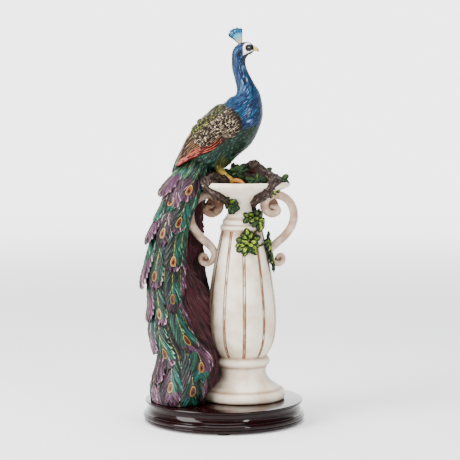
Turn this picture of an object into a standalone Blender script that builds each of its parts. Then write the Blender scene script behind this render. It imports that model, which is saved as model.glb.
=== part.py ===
"""Peacock standing on a two-handled urn: a painted resin casting on a turned wooden plinth with four pads.

Metres, +Z up. The origin is on the surface the pads stand on, at the plinth's axis. The bird faces +X,
and its train hangs down the -X side of the urn to the plinth. -Y is the side that is looked at.
"""

from math import asin, atan2, cos, pi, radians, sin, sqrt

import bmesh
import bpy
from mathutils import Vector

# Plinth and pads
PLINTH_RADIUS = 0.0975
PLINTH_TOP_RADIUS = 0.0951
PLINTH_HEIGHT = 0.0249
PLINTH_SEGMENTS = 40
PAD_COUNT = 4
PAD_RADIUS = 0.0078
PAD_HEIGHT = 0.0017
PAD_INSET = 0.003
CLEARANCE = 0.0003

# Urn: radii of its mouldings, and the height of each band from the plinth up
URN_X = 0.0216
FOOT_RADIUS = 0.0525
SCOTIA_RADIUS = 0.0287
TORUS_RADIUS = 0.0338
WAIST_RADIUS = 0.0298
BELLY_RADIUS = 0.0419
SHOULDER_RADIUS = 0.0249
COLLAR_RADIUS = 0.0262
NECK_RADIUS = 0.015
RIM_RADIUS = 0.058
DISH_RADIUS = 0.046
FOOT_BAND = 0.0126
STEM_BAND = 0.0385
BODY_BAND = 0.153
COLLAR_BAND = 0.0133
NECK_BAND = 0.0245
LIP_BAND = 0.0197
DISH_DEPTH = 0.010

# Flutes sunk down the urn's body
FLUTES = 10
FLUTE_DEPTH = 0.0011
FLUTE_HALF_ANGLE = radians(2.8)
FLUTE_PHASE = radians(-85.7)

# Scroll handles
HANDLE_THICKNESS = 0.0100
VOLUTE_THICKNESS = 0.0108
CURL_THICKNESS = 0.0074

# Bird: its height from the urn's rim to the top of the crest, drawn on a grid of this many units
BIRD_HEIGHT = 0.183
BIRD_GRID = 154
LEG_SPREAD = 0.012

# Train: how thick its edges are, and how far a feather's tip stands out
TRAIN_EDGE = 0.007
FEATHER_THICKNESS = 0.0042
FEATHER_LIFT = 0.0034

# Vine
STEM_RADIUS = 0.0016
LEAF_LENGTH = 0.0098
LEAF_WIDTH = 0.0068
LEAF_THICKNESS = 0.0024

# How finely the casting's joined surface is kept
EASE = 0.6

PLINTH_TOP = PAD_HEIGHT + CLEARANCE + PLINTH_HEIGHT
URN_FOOT = PLINTH_TOP + CLEARANCE
STEM_FOOT = URN_FOOT + FOOT_BAND
BODY_FOOT = STEM_FOOT + STEM_BAND
COLLAR_FOOT = BODY_FOOT + BODY_BAND
NECK_FOOT = COLLAR_FOOT + COLLAR_BAND
LIP_FOOT = NECK_FOOT + NECK_BAND
RIM_TOP = LIP_FOOT + LIP_BAND
UNIT = BIRD_HEIGHT / BIRD_GRID


def clear_scene():
    for obj in list(bpy.data.objects):
        bpy.data.objects.remove(obj, do_unlink=True)


def make_collection(name):
    made = bpy.data.collections.new(name)
    bpy.context.scene.collection.children.link(made)
    return made


def make_material(name, colour, roughness):
    made = bpy.data.materials.new(name)
    made.use_nodes = True
    shader = made.node_tree.nodes["Principled BSDF"]
    shader.inputs["Base Color"].default_value = (*colour, 1.0)
    shader.inputs["Roughness"].default_value = roughness
    return made


def add_object(name, data, collection):
    obj = bpy.data.objects.new(name, data)
    collection.objects.link(obj)
    return obj


def blend(low, high, share):
    return low + (high - low) * share


def read_off(table, at):
    """The table's row at this first value, blended between its neighbours."""
    for low, high in zip(table, table[1:]):
        if at <= high[0]:
            share = max(0.0, (at - low[0]) / (high[0] - low[0]))
            return [blend(a, b, share) for a, b in zip(low[1:], high[1:])]
    return list(table[-1][1:])


def smooth_path(points, steps):
    """Rows on a smooth curve through these rows of numbers, with this many steps between each two."""
    made = []
    last = len(points) - 1
    for i in range(last):
        rows = [points[max(i - 1, 0)], points[i], points[i + 1], points[min(i + 2, last)]]
        for k in range(steps):
            t = k / steps
            made.append([
                0.5 * (2 * b + (c - a) * t + (2 * a - 5 * b + 4 * c - d) * t ** 2
                       + (3 * b - a - 3 * c + d) * t ** 3)
                for a, b, c, d in zip(*rows)
            ])
    made.append(list(points[-1]))
    return made


def loft(name, rings, collection):
    """A closed solid through rings of equally many points. A ring of one point ends it in a tip."""
    mesh = bpy.data.meshes.new(name)
    form = bmesh.new()
    made = [[form.verts.new(p) for p in ring] for ring in rings]
    for ring, after in zip(made, made[1:]):
        count = max(len(ring), len(after))
        for i in range(count):
            j = (i + 1) % count
            corners = [ring[i % len(ring)], ring[j % len(ring)], after[j % len(after)], after[i % len(after)]]
            form.faces.new(list(dict.fromkeys(corners)))
    for ring in (made[0], made[-1]):
        if len(ring) > 2:
            form.faces.new(ring)
    bmesh.ops.recalc_face_normals(form, faces=form.faces)
    bmesh.ops.triangulate(form, faces=form.faces)
    for face in form.faces:
        face.smooth = True
    form.to_mesh(mesh)
    form.free()
    obj = add_object(name, mesh, collection)
    obj.hide_render = True
    obj.display_type = "WIRE"
    return obj


def oval(centre, across, deep, count):
    """Ring of points round centre, on the two half axes given."""
    angles = [2 * pi * (i + 0.5) / count for i in range(count)]
    return [centre + across * cos(a) + deep * sin(a) for a in angles]


def tube(name, rows, sides, collection, flat=1.0):
    """A bent rod through rows of (x, y, z, radius). flat is its depth as a share of its breadth."""
    path = [Vector(row[:3]) for row in rows]
    rings = []
    side = Vector((0, 1, 0))
    for i, point in enumerate(path):
        along = (path[min(i + 1, len(path) - 1)] - path[max(i - 1, 0)]).normalized()
        side = (side - along * side.dot(along)).normalized()
        across = along.cross(side)
        rings.append(oval(point, across * rows[i][3], side * rows[i][3] * flat, sides))
    return loft(name, rings, collection)


def rod(name, rows, sides, collection):
    """A straight round rod along Y through rows of (x, y, z, radius)."""
    rings = [oval(Vector(row[:3]), Vector((row[3], 0, 0)), Vector((0, 0, row[3])), sides) for row in rows]
    return loft(name, rings, collection)


def blade(name, spine, sides, normals, half_widths, thickness, collection):
    """A feather or leaf: a lens along spine that ends in two tips, fuller above than below."""
    rings = [[spine[0]]]
    for point, side, normal, half in list(zip(spine, sides, normals, half_widths))[1:-1]:
        rings.append([
            point - side * half,
            point + normal * thickness * 0.6,
            point + side * half,
            point - normal * thickness,
        ])
    rings.append([spine[-1]])
    return loft(name, rings, collection)


# The plinth: a turned disc with a lip, a hollow, a swelling and a bead at the foot


def turned(name, profile, segments, collection):
    """A profile of (radius, height) from the top of the axis to its foot, spun round Z."""
    mesh = bpy.data.meshes.new(name)
    mesh.from_pydata([(r, 0, z) for r, z in profile], [(i, i + 1) for i in range(len(profile) - 1)], [])
    obj = add_object(name, mesh, collection)
    screw = obj.modifiers.new("Turn", "SCREW")
    screw.steps = segments
    screw.render_steps = segments
    screw.use_merge_vertices = True
    screw.merge_threshold = 0.00001
    screw.use_smooth_shade = True
    return obj


def make_plinth(shown):
    lip = PLINTH_TOP_RADIUS
    foot = PLINTH_RADIUS
    outline = [
        (0.0, 1.0),
        (lip - 0.0010, 1.0),
        (lip, 0.95),
        (lip, 0.88),
        (lip - 0.0022, 0.82),
        (lip - 0.0036, 0.71),
        (lip - 0.0022, 0.55),
        (foot - 0.0020, 0.43),
        (foot, 0.36),
        (foot, 0.20),
        (foot - 0.0012, 0.10),
        (foot - 0.0020, 0.0),
        (0.0, 0.0),
    ]
    base = PLINTH_TOP - PLINTH_HEIGHT
    profile = [(r, base + PLINTH_HEIGHT * share) for r, share in outline]
    plinth = turned("plinth", profile, PLINTH_SEGMENTS, shown)
    plinth.data.materials.append(make_material("mahogany_lacquer", (0.06, 0.008, 0.010), 0.15))


def make_pads(shown):
    rubber = make_material("pad_rubber", (0.04, 0.04, 0.04), 0.8)
    reach = PLINTH_RADIUS - PAD_INSET - PAD_RADIUS
    for i in range(PAD_COUNT):
        angle = -pi / 2 + 2 * pi * i / PAD_COUNT
        bpy.ops.mesh.primitive_cylinder_add(
            vertices=16, radius=PAD_RADIUS, depth=PAD_HEIGHT,
            location=(reach * cos(angle), reach * sin(angle), PAD_HEIGHT / 2))
        pad = bpy.context.object
        pad.name = f"pad_{i + 1}"
        for holder in list(pad.users_collection):
            holder.objects.unlink(pad)
        shown.objects.link(pad)
        pad.data.materials.append(rubber)


# The urn: a fluted body on a moulded foot, with a collar, a trumpet neck and a dished rim


def band(foot, height, points):
    return [(r, foot + height * share) for r, share in points]


def urn_profile():
    foot = band(URN_FOOT, FOOT_BAND, [
        (0.0, 0.0),
        (FOOT_RADIUS - 0.0030, 0.0),
        (FOOT_RADIUS, 0.30),
        (FOOT_RADIUS - 0.0012, 0.75),
        (FOOT_RADIUS - 0.0050, 1.0),
    ])
    stem = band(STEM_FOOT, STEM_BAND, [
        (blend(SCOTIA_RADIUS, FOOT_RADIUS, 0.55), 0.13),
        (blend(SCOTIA_RADIUS, FOOT_RADIUS, 0.20), 0.28),
        (SCOTIA_RADIUS, 0.47),
        (blend(SCOTIA_RADIUS, TORUS_RADIUS, 0.55), 0.68),
        (TORUS_RADIUS, 0.81),
        (blend(WAIST_RADIUS, TORUS_RADIUS, 0.70), 0.92),
    ])
    body = band(BODY_FOOT, BODY_BAND, [
        (WAIST_RADIUS, 0.0),
        (blend(WAIST_RADIUS, BELLY_RADIUS, 0.48), 0.055),
        (blend(WAIST_RADIUS, BELLY_RADIUS, 0.86), 0.14),
        (BELLY_RADIUS, 0.275),
        (blend(SHOULDER_RADIUS, BELLY_RADIUS, 0.81), 0.45),
        (blend(SHOULDER_RADIUS, BELLY_RADIUS, 0.53), 0.66),
        (blend(SHOULDER_RADIUS, BELLY_RADIUS, 0.20), 0.86),
        (SHOULDER_RADIUS, 0.99),
    ])
    collar = band(COLLAR_FOOT, COLLAR_BAND, [
        (COLLAR_RADIUS, 0.08),
        (COLLAR_RADIUS, 0.42),
        (COLLAR_RADIUS - 0.0030, 0.52),
        (COLLAR_RADIUS - 0.0034, 0.84),
    ])
    neck = band(NECK_FOOT, NECK_BAND, [
        (blend(NECK_RADIUS, COLLAR_RADIUS, 0.50), 0.05),
        (NECK_RADIUS, 0.48),
        (NECK_RADIUS + 0.0026, 0.68),
        (NECK_RADIUS + 0.0062, 0.83),
    ])
    lip = band(LIP_FOOT, LIP_BAND, [
        (blend(NECK_RADIUS, RIM_RADIUS, 0.30), 0.0),
        (blend(NECK_RADIUS, RIM_RADIUS, 0.60), 0.36),
        (blend(NECK_RADIUS, RIM_RADIUS, 0.90), 0.66),
        (RIM_RADIUS, 0.76),
        (RIM_RADIUS, 0.90),
        (RIM_RADIUS - 0.0020, 1.0),
        (DISH_RADIUS, 0.93),
    ])
    dish = [(DISH_RADIUS * 0.6, RIM_TOP - DISH_DEPTH * 0.8), (0.0, RIM_TOP - DISH_DEPTH)]
    return foot + stem + body + collar + neck + lip + dish


URN_OUTLINE = urn_profile()
URN_SIDE = [(z, r) for r, z in URN_OUTLINE[1:-4]]


def urn_radius(height):
    return read_off(URN_SIDE, height)[0]


def on_urn(angle, height, out=0.0):
    """Point on the urn's side, with angle 0 at the front and positive to the right."""
    reach = urn_radius(height) + out
    return Vector((URN_X + reach * sin(angle), -reach * cos(angle), height))


def carve_flutes(mesh, columns):
    """Gathers the columns of points into pairs of edges, with a sunk line between each pair."""
    per_flute = columns // FLUTES
    step = 2 * pi / columns
    for vert in mesh.vertices:
        x, y, z = vert.co
        reach = sqrt(x * x + y * y)
        column = round(atan2(y, x) / step) % columns
        flute, place = divmod(column, per_flute)
        offset = step * place
        if place == 1:
            offset = FLUTE_HALF_ANGLE
        if place == per_flute - 1:
            offset = step * per_flute - FLUTE_HALF_ANGLE
        if place == 0 and BODY_FOOT + 0.001 < z < COLLAR_FOOT:
            reach -= FLUTE_DEPTH
        angle = FLUTE_PHASE + step * per_flute * flute + offset
        vert.co = (URN_X + reach * cos(angle), reach * sin(angle), z)
    form = bmesh.new()
    form.from_mesh(mesh)
    bmesh.ops.triangulate(form, faces=form.faces)
    form.to_mesh(mesh)
    form.free()


def make_urn(shown):
    columns = FLUTES * 4
    spun = turned("urn_turning", list(reversed(URN_OUTLINE)), columns, shown)
    graph = bpy.context.evaluated_depsgraph_get()
    mesh = bpy.data.meshes.new_from_object(spun.evaluated_get(graph))
    bpy.data.objects.remove(spun, do_unlink=True)
    carve_flutes(mesh, columns)
    return add_object("peacock_and_urn", mesh, shown)


def at(right, up, y=0.0):
    """Point on the bird's grid: units to the right of the urn's axis and above its rim."""
    return Vector((URN_X + right * UNIT, y, RIM_TOP + up * UNIT))


def make_handles(forms):
    """An S-shaped strap each side, with a large volute beside the neck and a small curl on the body."""
    curl = CURL_THICKNESS / 2
    volute = VOLUTE_THICKNESS / 2
    strap = HANDLE_THICKNESS / 2
    line = [
        (31.5, -25.6, curl), (36.6, -27.0, curl), (35.5, -31.0, volute * 0.8), (29.0, -32.4, volute),
        (22.6, -27.0, volute), (23.4, -18.6, volute), (31.0, -13.8, volute), (40.0, -15.0, strap),
        (47.3, -20.6, strap), (51.2, -28.6, strap), (51.7, -37.8, strap), (48.7, -46.8, strap),
        (42.2, -55.4, strap), (34.6, -62.2, strap), (28.4, -69.2, strap * 0.85), (27.6, -76.0, curl * 1.1),
        (31.0, -81.8, curl), (37.0, -83.2, curl), (41.0, -79.6, curl), (39.6, -75.0, curl * 0.9),
        (35.6, -76.0, curl * 0.8),
    ]
    for name, side in (("handle_right", 1), ("handle_left", -1)):
        rows = []
        for right, up, radius in smooth_path(line, 2):
            rows.append((*at(side * (right + 0.5), up), radius))
        tube(name, rows, 7, forms)
        # The webs that fill the eye of the volute and the heart of the curl
        for label, right, up, radius, half in (("eye", 28.0, -24.4, 8.4, 0.0030), ("heart", 37.4, -78.6, 4.6, 0.0022)):
            web = [(*at(side * right, up, y), radius * UNIT * share) for y, share in
                   ((-half, 0.8), (-half * 0.6, 1.0), (half * 0.6, 1.0), (half, 0.8))]
            rod(f"{name}_{label}", web, 10, forms)


# The bird: head, neck and body in one, with wings, crest, beak and legs laid on

# Along the body from the beak: right, up, half depth in the side view, half breadth
BODY = [
    (12.0, 132.6, 2.8, 2.4),
    (8.6, 132.8, 5.8, 5.0),
    (3.6, 132.6, 7.4, 6.6),
    (-1.7, 128.8, 8.0, 7.0),
    (-3.4, 121.6, 7.0, 6.4),
    (-2.8, 113.4, 7.2, 6.6),
    (-0.2, 105.4, 7.7, 7.2),
    (3.8, 94.4, 9.4, 9.0),
    (5.4, 85.6, 13.6, 12.5),
    (3.4, 76.6, 18.6, 16.5),
    (-1.2, 66.0, 22.4, 20.0),
    (-9.5, 56.4, 26.4, 22.0),
    (-22.0, 44.6, 26.0, 22.0),
    (-34.0, 31.0, 24.4, 20.0),
    (-46.0, 21.4, 19.5, 18.0),
    (-55.0, 12.4, 15.0, 16.0),
    (-62.0, 3.0, 11.0, 13.0),
]


def body_breadth(right, up):
    """Half the bird's breadth at this point of the side view."""
    best = None
    for low, high in zip(BODY[6:], BODY[7:]):
        run = Vector((high[0] - low[0], high[1] - low[1]))
        off = Vector((right - low[0], up - low[1]))
        share = min(1.0, max(0.0, off.dot(run) / run.dot(run)))
        away = (off - run * share).length
        depth = blend(low[2], high[2], share)
        if best is None or away / depth < best[0]:
            best = (away / depth, blend(low[3], high[3], share))
    return best[1] * sqrt(max(0.0, 1.0 - best[0] ** 2)) * UNIT


def make_body(forms):
    rings = []
    for i, (right, up, deep, broad) in enumerate(BODY):
        before, after = BODY[max(i - 1, 0)], BODY[min(i + 1, len(BODY) - 1)]
        along = (at(after[0], after[1]) - at(before[0], before[1])).normalized()
        across = along.cross(Vector((0, 1, 0)))
        rings.append(oval(at(right, up), across * deep * UNIT, Vector((0, broad * UNIT, 0)), 12))
    loft("body", rings, forms)


def make_beak_and_crest(forms):
    beak = [(10.6, 132.6, 3.3), (13.4, 132.2, 2.4), (15.6, 131.2, 1.5), (17.0, 129.6, 0.4)]
    tube("beak", [(*at(right, up), radius * UNIT) for right, up, radius in beak], 8, forms, 0.8)
    root = (-2.6, 136.5)
    tips = [(-12.0, 146.2), (-9.8, 150.6), (-6.0, 153.0), (-2.0, 152.8), (0.0, 148.6)]
    for i, tip in enumerate(tips):
        rows = []
        for share, radius in ((0.0, 2.2), (0.4, 1.9), (0.82, 2.6), (1.0, 1.7)):
            spread = 0.6 * (i - 2) * UNIT * share
            rows.append((*at(blend(root[0], tip[0], share), blend(root[1], tip[1], share), spread), radius * UNIT))
        tube(f"crest_{i}", rows, 6, forms, 0.8)


def wing_blade(name, points, half, y_side, lift, forms):
    """A feather along points of the side view, lying on the bird's flank."""
    path = smooth_path([(*p, 0.0) for p in points], 3)[::2]
    share = [i / (len(path) - 1) for i in range(len(path))]
    spine = []
    for s, (right, up, _) in zip(share, path):
        out = body_breadth(right, up) + UNIT * (0.4 + lift * sin(pi * min(s * 1.1, 1.0) / 2))
        spine.append(at(right, up, y_side * out))
    sides = []
    for i in range(len(spine)):
        along = (spine[min(i + 1, len(spine) - 1)] - spine[max(i - 1, 0)]).normalized()
        sides.append(along.cross(Vector((0, y_side, 0))).normalized())
    widths = [half * UNIT * min(1.0, 0.5 + s * 2.4) * sqrt(max(0.0, 1.0 - max(0.0, s - 0.75) ** 2 * 10)) for s in share]
    outward = [Vector((0, y_side, 0))] * len(spine)
    blade(name, spine, sides, outward, widths, UNIT * 2.0, forms)


def make_wings(forms):
    # Sections of the folded wing from the shoulder to the tip: right, up, half depth
    sections = [
        (-0.5, 55.0, 2.0), (-3.5, 56.5, 9.0), (-10.0, 58.0, 14.0), (-20.0, 54.0, 18.5), (-33.0, 44.5, 18.5),
        (-45.0, 33.5, 14.5), (-55.5, 24.0, 9.5), (-65.5, 14.8, 2.0),
    ]
    for side, label in ((-1, "front"), (1, "back")):
        rings = []
        for i, (right, up, deep) in enumerate(sections):
            before, after = sections[max(i - 1, 0)], sections[min(i + 1, len(sections) - 1)]
            along = (at(after[0], after[1]) - at(before[0], before[1])).normalized()
            across = along.cross(Vector((0, 1, 0))) * deep * UNIT
            broad = max(body_breadth(right, up), 6 * UNIT)
            centre = at(right, up, side * broad * 0.55)
            rings.append(oval(centre, across, Vector((0, broad * 0.55 + 1.6 * UNIT, 0)), 12))
        loft(f"wing_{label}", rings, forms)
        # Copper quills over the wing's lower edge, then the brown flank feathers under them
        for i in range(5):
            drop = i * 3.0
            wing_blade(f"quill_{label}_{i}",
                       [(-18.0 + i * 1.0, 51.5 - drop), (-36.0, 37.0 - drop * 0.75), (-52.0, 25.0 - drop * 0.55),
                        (-65.0 + i * 2.4, 15.8 - drop * 0.5)],
                       2.6, side, 2.2, forms)
        for i in range(4):
            drop = i * 4.2
            wing_blade(f"flank_{label}_{i}",
                       [(-17.0 - i * 2.0, 36.0 - drop * 0.8), (-30.0 - i * 1.5, 26.0 - drop * 0.8),
                        (-48.0 + i * 3.0, 12.0 - drop * 0.5)],
                       3.4, side, 1.4, forms)


def make_legs(forms):
    """Two shanks from the thighs to the branch, with three toes each."""
    for side, shift in ((-1, 0.0), (1, -7.0)):
        y = side * LEG_SPREAD
        shank = [(-25.0, 18.0, 6.5), (-22.0, 12.0, 3.8), (-17.0, 6.5, 2.8), (-11.5, 1.8, 3.0), (-9.5, -1.2, 2.6)]
        rows = [(*at(right + shift, up, y), radius * UNIT) for right, up, radius in shank]
        tube(f"shank_{side}", rows, 8, forms)
        for toe, spread in enumerate((-5.0, 0.5, 6.0)):
            rows = []
            for share, radius, up in ((0.0, 2.2, 0.8), (0.65, 1.8, 1.2), (1.0, 0.8, -2.4)):
                rows.append((*at(-10.5 + shift + 12.5 * share, up, y + side * spread * share * UNIT), radius * UNIT))
            tube(f"toe_{side}_{toe}", rows, 5, forms)


# The train: a thick cloak of feathers that closes round the left handle and stands on the plinth

# Heights over the plinth, then: left side, front edge, bottom of the hollow, back edge, front and back depth
TRAIN = [
    (0.0004, -0.084, -0.026, 0.006, -0.024, 0.060, 0.056),
    (0.012, -0.087, -0.020, 0.004, -0.018, 0.062, 0.058),
    (0.029, -0.084, -0.016, 0.002, -0.010, 0.058, 0.054),
    (0.056, -0.081, -0.017, 0.001, -0.006, 0.054, 0.050),
    (0.082, -0.088, -0.033, 0.000, -0.009, 0.050, 0.046),
    (0.112, -0.088, -0.045, -0.008, -0.014, 0.045, 0.042),
    (0.142, -0.093, -0.045, -0.030, -0.020, 0.041, 0.039),
    (0.171, -0.090, -0.044, -0.048, -0.023, 0.039, 0.037),
    (0.202, -0.084, -0.042, -0.050, -0.025, 0.038, 0.036),
    (0.233, -0.074, -0.032, -0.046, -0.024, 0.038, 0.034),
    (0.256, -0.068, -0.026, -0.030, -0.024, 0.040, 0.034),
    (0.273, -0.058, -0.022, -0.014, -0.022, 0.035, 0.030),
    (0.290, -0.047, -0.018, -0.010, -0.018, 0.019, 0.018),
]
ROUND_START = radians(-50)
ROUND_END = radians(230)


def train_skin(height, share, out=0.0):
    """Point on the train's outer side: share 0 at its front edge, 0.5 at its left, 1 at its back edge."""
    left, front_edge, _, back_edge, front, back = read_off(TRAIN, height)
    angle = blend(ROUND_START, ROUND_END, share)
    edge, depth = (front_edge, front) if angle < pi / 2 else (back_edge, back)
    half = (edge - left) / (1.0 + sin(-ROUND_START))
    if angle >= pi / 2:
        half = (edge - left) / (1.0 + sin(ROUND_END - pi))
    centre = left + half
    away = Vector((-sin(angle), -cos(angle)))
    return Vector((centre + half * away.x, depth * away.y, PLINTH_TOP + height)) + Vector((*away, 0)) * out


def make_train(forms):
    rings = []
    for height, _, front_edge, hollow, back_edge, _, _ in TRAIN:
        ring = [train_skin(height, i / 12) for i in range(13)]
        inner_front = ring[0] + Vector((-0.002, TRAIN_EDGE, 0))
        inner_back = ring[-1] + Vector((-0.002, -TRAIN_EDGE, 0))
        level = PLINTH_TOP + height
        ring += [inner_back, Vector((hollow, 0.008, level)), Vector((hollow, -0.008, level)), inner_front]
        rings.append(ring)
    loft("train", rings, forms)


def train_feather(name, top, foot, share_top, share_foot, half, forms):
    """A feather lying down the train from top to foot, its tip standing out over the next one."""
    spine, sides, normals, widths = [], [], [], []
    for t, broad in ((0.0, 0.0), (0.3, 0.78), (0.62, 1.0), (0.88, 0.8), (1.0, 0.0)):
        height = blend(top, foot, t)
        share = blend(share_top, share_foot, t)
        point = train_skin(height, share, FEATHER_LIFT * (t * 1.35 - 0.35))
        tangent = (train_skin(height, share + 0.02) - train_skin(height, share - 0.02)).normalized()
        spine.append(point)
        sides.append(tangent)
        normals.append(Vector((0, 0, 1)).cross(tangent) * -1.0)
        widths.append(half * broad)
    blade(name, spine, sides, normals, widths, FEATHER_THICKNESS, forms)


def make_train_feathers(forms):
    # Heights of the feathers' tips over the plinth, with each feather's place round the train
    front = [(0.243, 0.13), (0.207, 0.13), (0.162, 0.145), (0.116, 0.14), (0.066, 0.13), (0.032, 0.08), (0.0045, 0.12)]
    outer = [(0.231, 0.28), (0.194, 0.25), (0.141, 0.31), (0.096, 0.28), (0.050, 0.335), (0.0045, 0.265)]
    for column, (label, feathers) in enumerate((("front", front), ("outer", outer))):
        for i, (foot, share) in enumerate(feathers):
            above = feathers[max(i - 1, 0)][1]
            top = min(foot + 0.056, 0.284)
            train_feather(f"feather_{label}_{i}", top, foot, blend(share, above, 0.6), share,
                          0.0150 - 0.0012 * column, forms)
    for column in range(3):
        share = 0.45 + 0.19 * column
        for i in range(5):
            foot = 0.006 + 0.046 * i + 0.022 * (column % 2 == 0)
            train_feather(f"feather_side_{column}_{i}", min(foot + 0.064, 0.284), foot, share, share, 0.019, forms)


# The branch the bird stands on, and the ivy


def make_branch(forms):
    trunk = [
        (-13.0, -24.0, -0.0130, 3.0), (-18.5, -17.0, -0.0220, 5.2), (-25.5, -9.0, -0.0330, 7.4),
        (-31.5, 0.0, -0.0370, 8.4), (-25.0, 2.4, -0.0170, 7.0), (-10.0, -3.2, 0.0, 6.2), (2.5, 4.0, 0.0, 7.0),
        (11.5, 10.4, 0.0, 8.0), (20.5, 9.4, 0.0, 6.8), (29.5, 3.4, -0.004, 5.2), (38.0, -0.6, -0.006, 3.8),
        (47.0, -4.4, -0.007, 2.0),
    ]
    rows = []
    for right, up, y, radius in trunk:
        rows.append((*at(right, up, y), radius * UNIT))
    tube("trunk", rows, 8, forms)
    stub = [(-9.5, 0.0, 3.6), (-9.0, 10.0, 3.0), (-9.4, 18.0, 1.8)]
    tube("stub", [(*at(right, up, 0.004), radius * UNIT) for right, up, radius in stub], 6, forms)
    knot = [(12.0, 12.0, 6.0), (15.0, 18.5, 3.6), (16.0, 21.0, 1.6)]
    tube("knot", [(*at(right, up, -0.003), radius * UNIT) for right, up, radius in knot], 6, forms)
    # The limb that comes over the rim and clings to the neck
    limb = [(*at(25.0, 8.0, -0.006), 5.0 * UNIT), (*at(30.0, 3.0, -0.030), 4.6 * UNIT)]
    for degrees, rise, out, radius in ((49, 0.95, 0.001, 5.2), (45, 0.45, 0.002, 5.0), (40, 0.05, 0.001, 4.4)):
        limb.append((*on_urn(radians(degrees), LIP_FOOT + LIP_BAND * rise, out), radius * UNIT))
    for degrees, rise, out, radius in ((42, 0.72, 0.002, 3.8), (50, 0.35, 0.002, 3.4), (56, 0.0, 0.001, 2.8)):
        limb.append((*on_urn(radians(degrees), NECK_FOOT + NECK_BAND * rise, out), radius * UNIT))
    tube("limb", limb, 8, forms)


def make_leaf(name, centre, outward, heading, size, forms):
    """A leaf from centre along heading, folded up a little along its middle."""
    side = heading.cross(outward).normalized()
    spine, widths = [], []
    for share, width in ((0.0, 0.0), (0.28, 0.95), (0.72, 0.8), (1.0, 0.0)):
        spine.append(centre + heading * LEAF_LENGTH * size * share - outward * LEAF_LENGTH * size * 0.16 * share ** 2)
        widths.append(LEAF_WIDTH * size * width / 2)
    blade(name, spine, [side] * 4, [outward] * 4, widths, LEAF_THICKNESS * size, forms)


def make_cluster(name, centre, outward, turns, size, forms):
    """Leaves fanned out from one point, at these turns in degrees from straight down."""
    right = Vector((0, 0, 1)).cross(outward)
    right = right.normalized() if right.length > 0.3 else Vector((1, 0, 0))
    down = right.cross(outward).normalized() * -1.0
    if down.z > 0:
        down = -down
    for i, turn in enumerate(turns):
        heading = down * cos(radians(turn)) + right * sin(radians(turn)) * -1.0 + outward * 0.18
        make_leaf(f"leaf_{name}_{i}", centre, outward, heading.normalized(), size, forms)


def make_ivy(forms):
    # On the urn: degrees round from the front, height, how far out, turns of the leaves, size
    clusters = [
        (-48, NECK_FOOT + 0.0225, 0.002, (-130, -50, 20, 80), 1.05),
        (-44, NECK_FOOT + 0.0085, 0.003, (-100, -20, 50), 1.05),
        (17, COLLAR_FOOT + 0.0120, 0.003, (-160, -60, 10, 110), 0.95),
        (56, COLLAR_FOOT + 0.0125, 0.002, (-100, 150, 60), 1.25),
        (52, COLLAR_FOOT + 0.0024, 0.002, (-90, -20, 40, 100), 1.25),
        (2, COLLAR_FOOT - 0.0130, 0.001, (-110, -50, 10, 150), 1.1),
        (26, COLLAR_FOOT - 0.0150, 0.001, (-60, 0, 60, 120), 1.1),
        (10, COLLAR_FOOT - 0.0230, 0.001, (-50, 10, 60), 1.0),
        (83, COLLAR_FOOT - 0.0150, 0.003, (-150, -20, 60, 120), 1.1),
        (84, COLLAR_FOOT - 0.0370, 0.003, (-120, -10, 60, 170), 1.15),
        (44, LIP_FOOT + 0.006, 0.004, (-40, 40, 110), 1.0),
    ]
    for i, (degrees, height, out, turns, size) in enumerate(clusters):
        angle = radians(degrees)
        outward = Vector((sin(angle), -cos(angle), 0))
        make_cluster(f"urn_{i}", on_urn(angle, height, out), outward, turns, size, forms)
    # Among the branch: right, up, y, turns, size
    for i, (right, up, y, turns, size) in enumerate([
            (-13.0, 10.0, -0.004, (-150, -80, 20, 120), 1.15), (-3.0, 8.5, -0.0085, (-140, -50, 30, 100), 1.2),
            (14.0, 3.5, -0.0105, (-90, -30, 60, 120), 1.1),
            (24.0, 2.0, -0.0115, (-60, 20, 100), 1.0), (41.0, 1.5, -0.0085, (20, 70, 110), 1.15)]):
        make_cluster(f"branch_{i}", at(right, up, y), Vector((0.05, -0.9, 0.42)).normalized(), turns, size, forms)
    # The stem that runs down the neck and over the body from cluster to cluster
    stem = [(58, NECK_FOOT + 0.010), (54, NECK_FOOT), (51, COLLAR_FOOT + 0.0046), (35, COLLAR_FOOT - 0.0034),
            (22, COLLAR_FOOT - 0.013), (40, COLLAR_FOOT - 0.018), (64, COLLAR_FOOT - 0.017),
            (82, COLLAR_FOOT - 0.022), (84, COLLAR_FOOT - 0.036)]
    rows = []
    for degrees, height in smooth_path(stem, 2):
        rows.append((*on_urn(radians(degrees), height, 0.0004), STEM_RADIUS))
    tube("stem", rows, 6, forms)


def make_casting(shown, forms):
    """The urn with everything that is cast in one with it."""
    casting = make_urn(shown)
    make_handles(forms)
    make_body(forms)
    make_beak_and_crest(forms)
    make_wings(forms)
    make_legs(forms)
    make_train(forms)
    make_train_feathers(forms)
    make_branch(forms)
    make_ivy(forms)
    joined = casting.modifiers.new("Casting", "BOOLEAN")
    joined.operation = "UNION"
    joined.solver = "EXACT"
    joined.operand_type = "COLLECTION"
    joined.collection = forms
    eased = casting.modifiers.new("Ease", "DECIMATE")
    eased.ratio = EASE
    casting.data.materials.append(make_material("painted_resin", (0.35, 0.42, 0.34), 0.35))


def main():
    clear_scene()
    shown = make_collection("peacock_urn_figurine")
    forms = make_collection("casting_forms")
    make_plinth(shown)
    make_pads(shown)
    make_casting(shown, forms)


main()
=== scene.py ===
from math import cos, hypot, pi, radians, sin, sqrt

import bpy
import numpy as np
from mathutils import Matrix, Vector, noise


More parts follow.
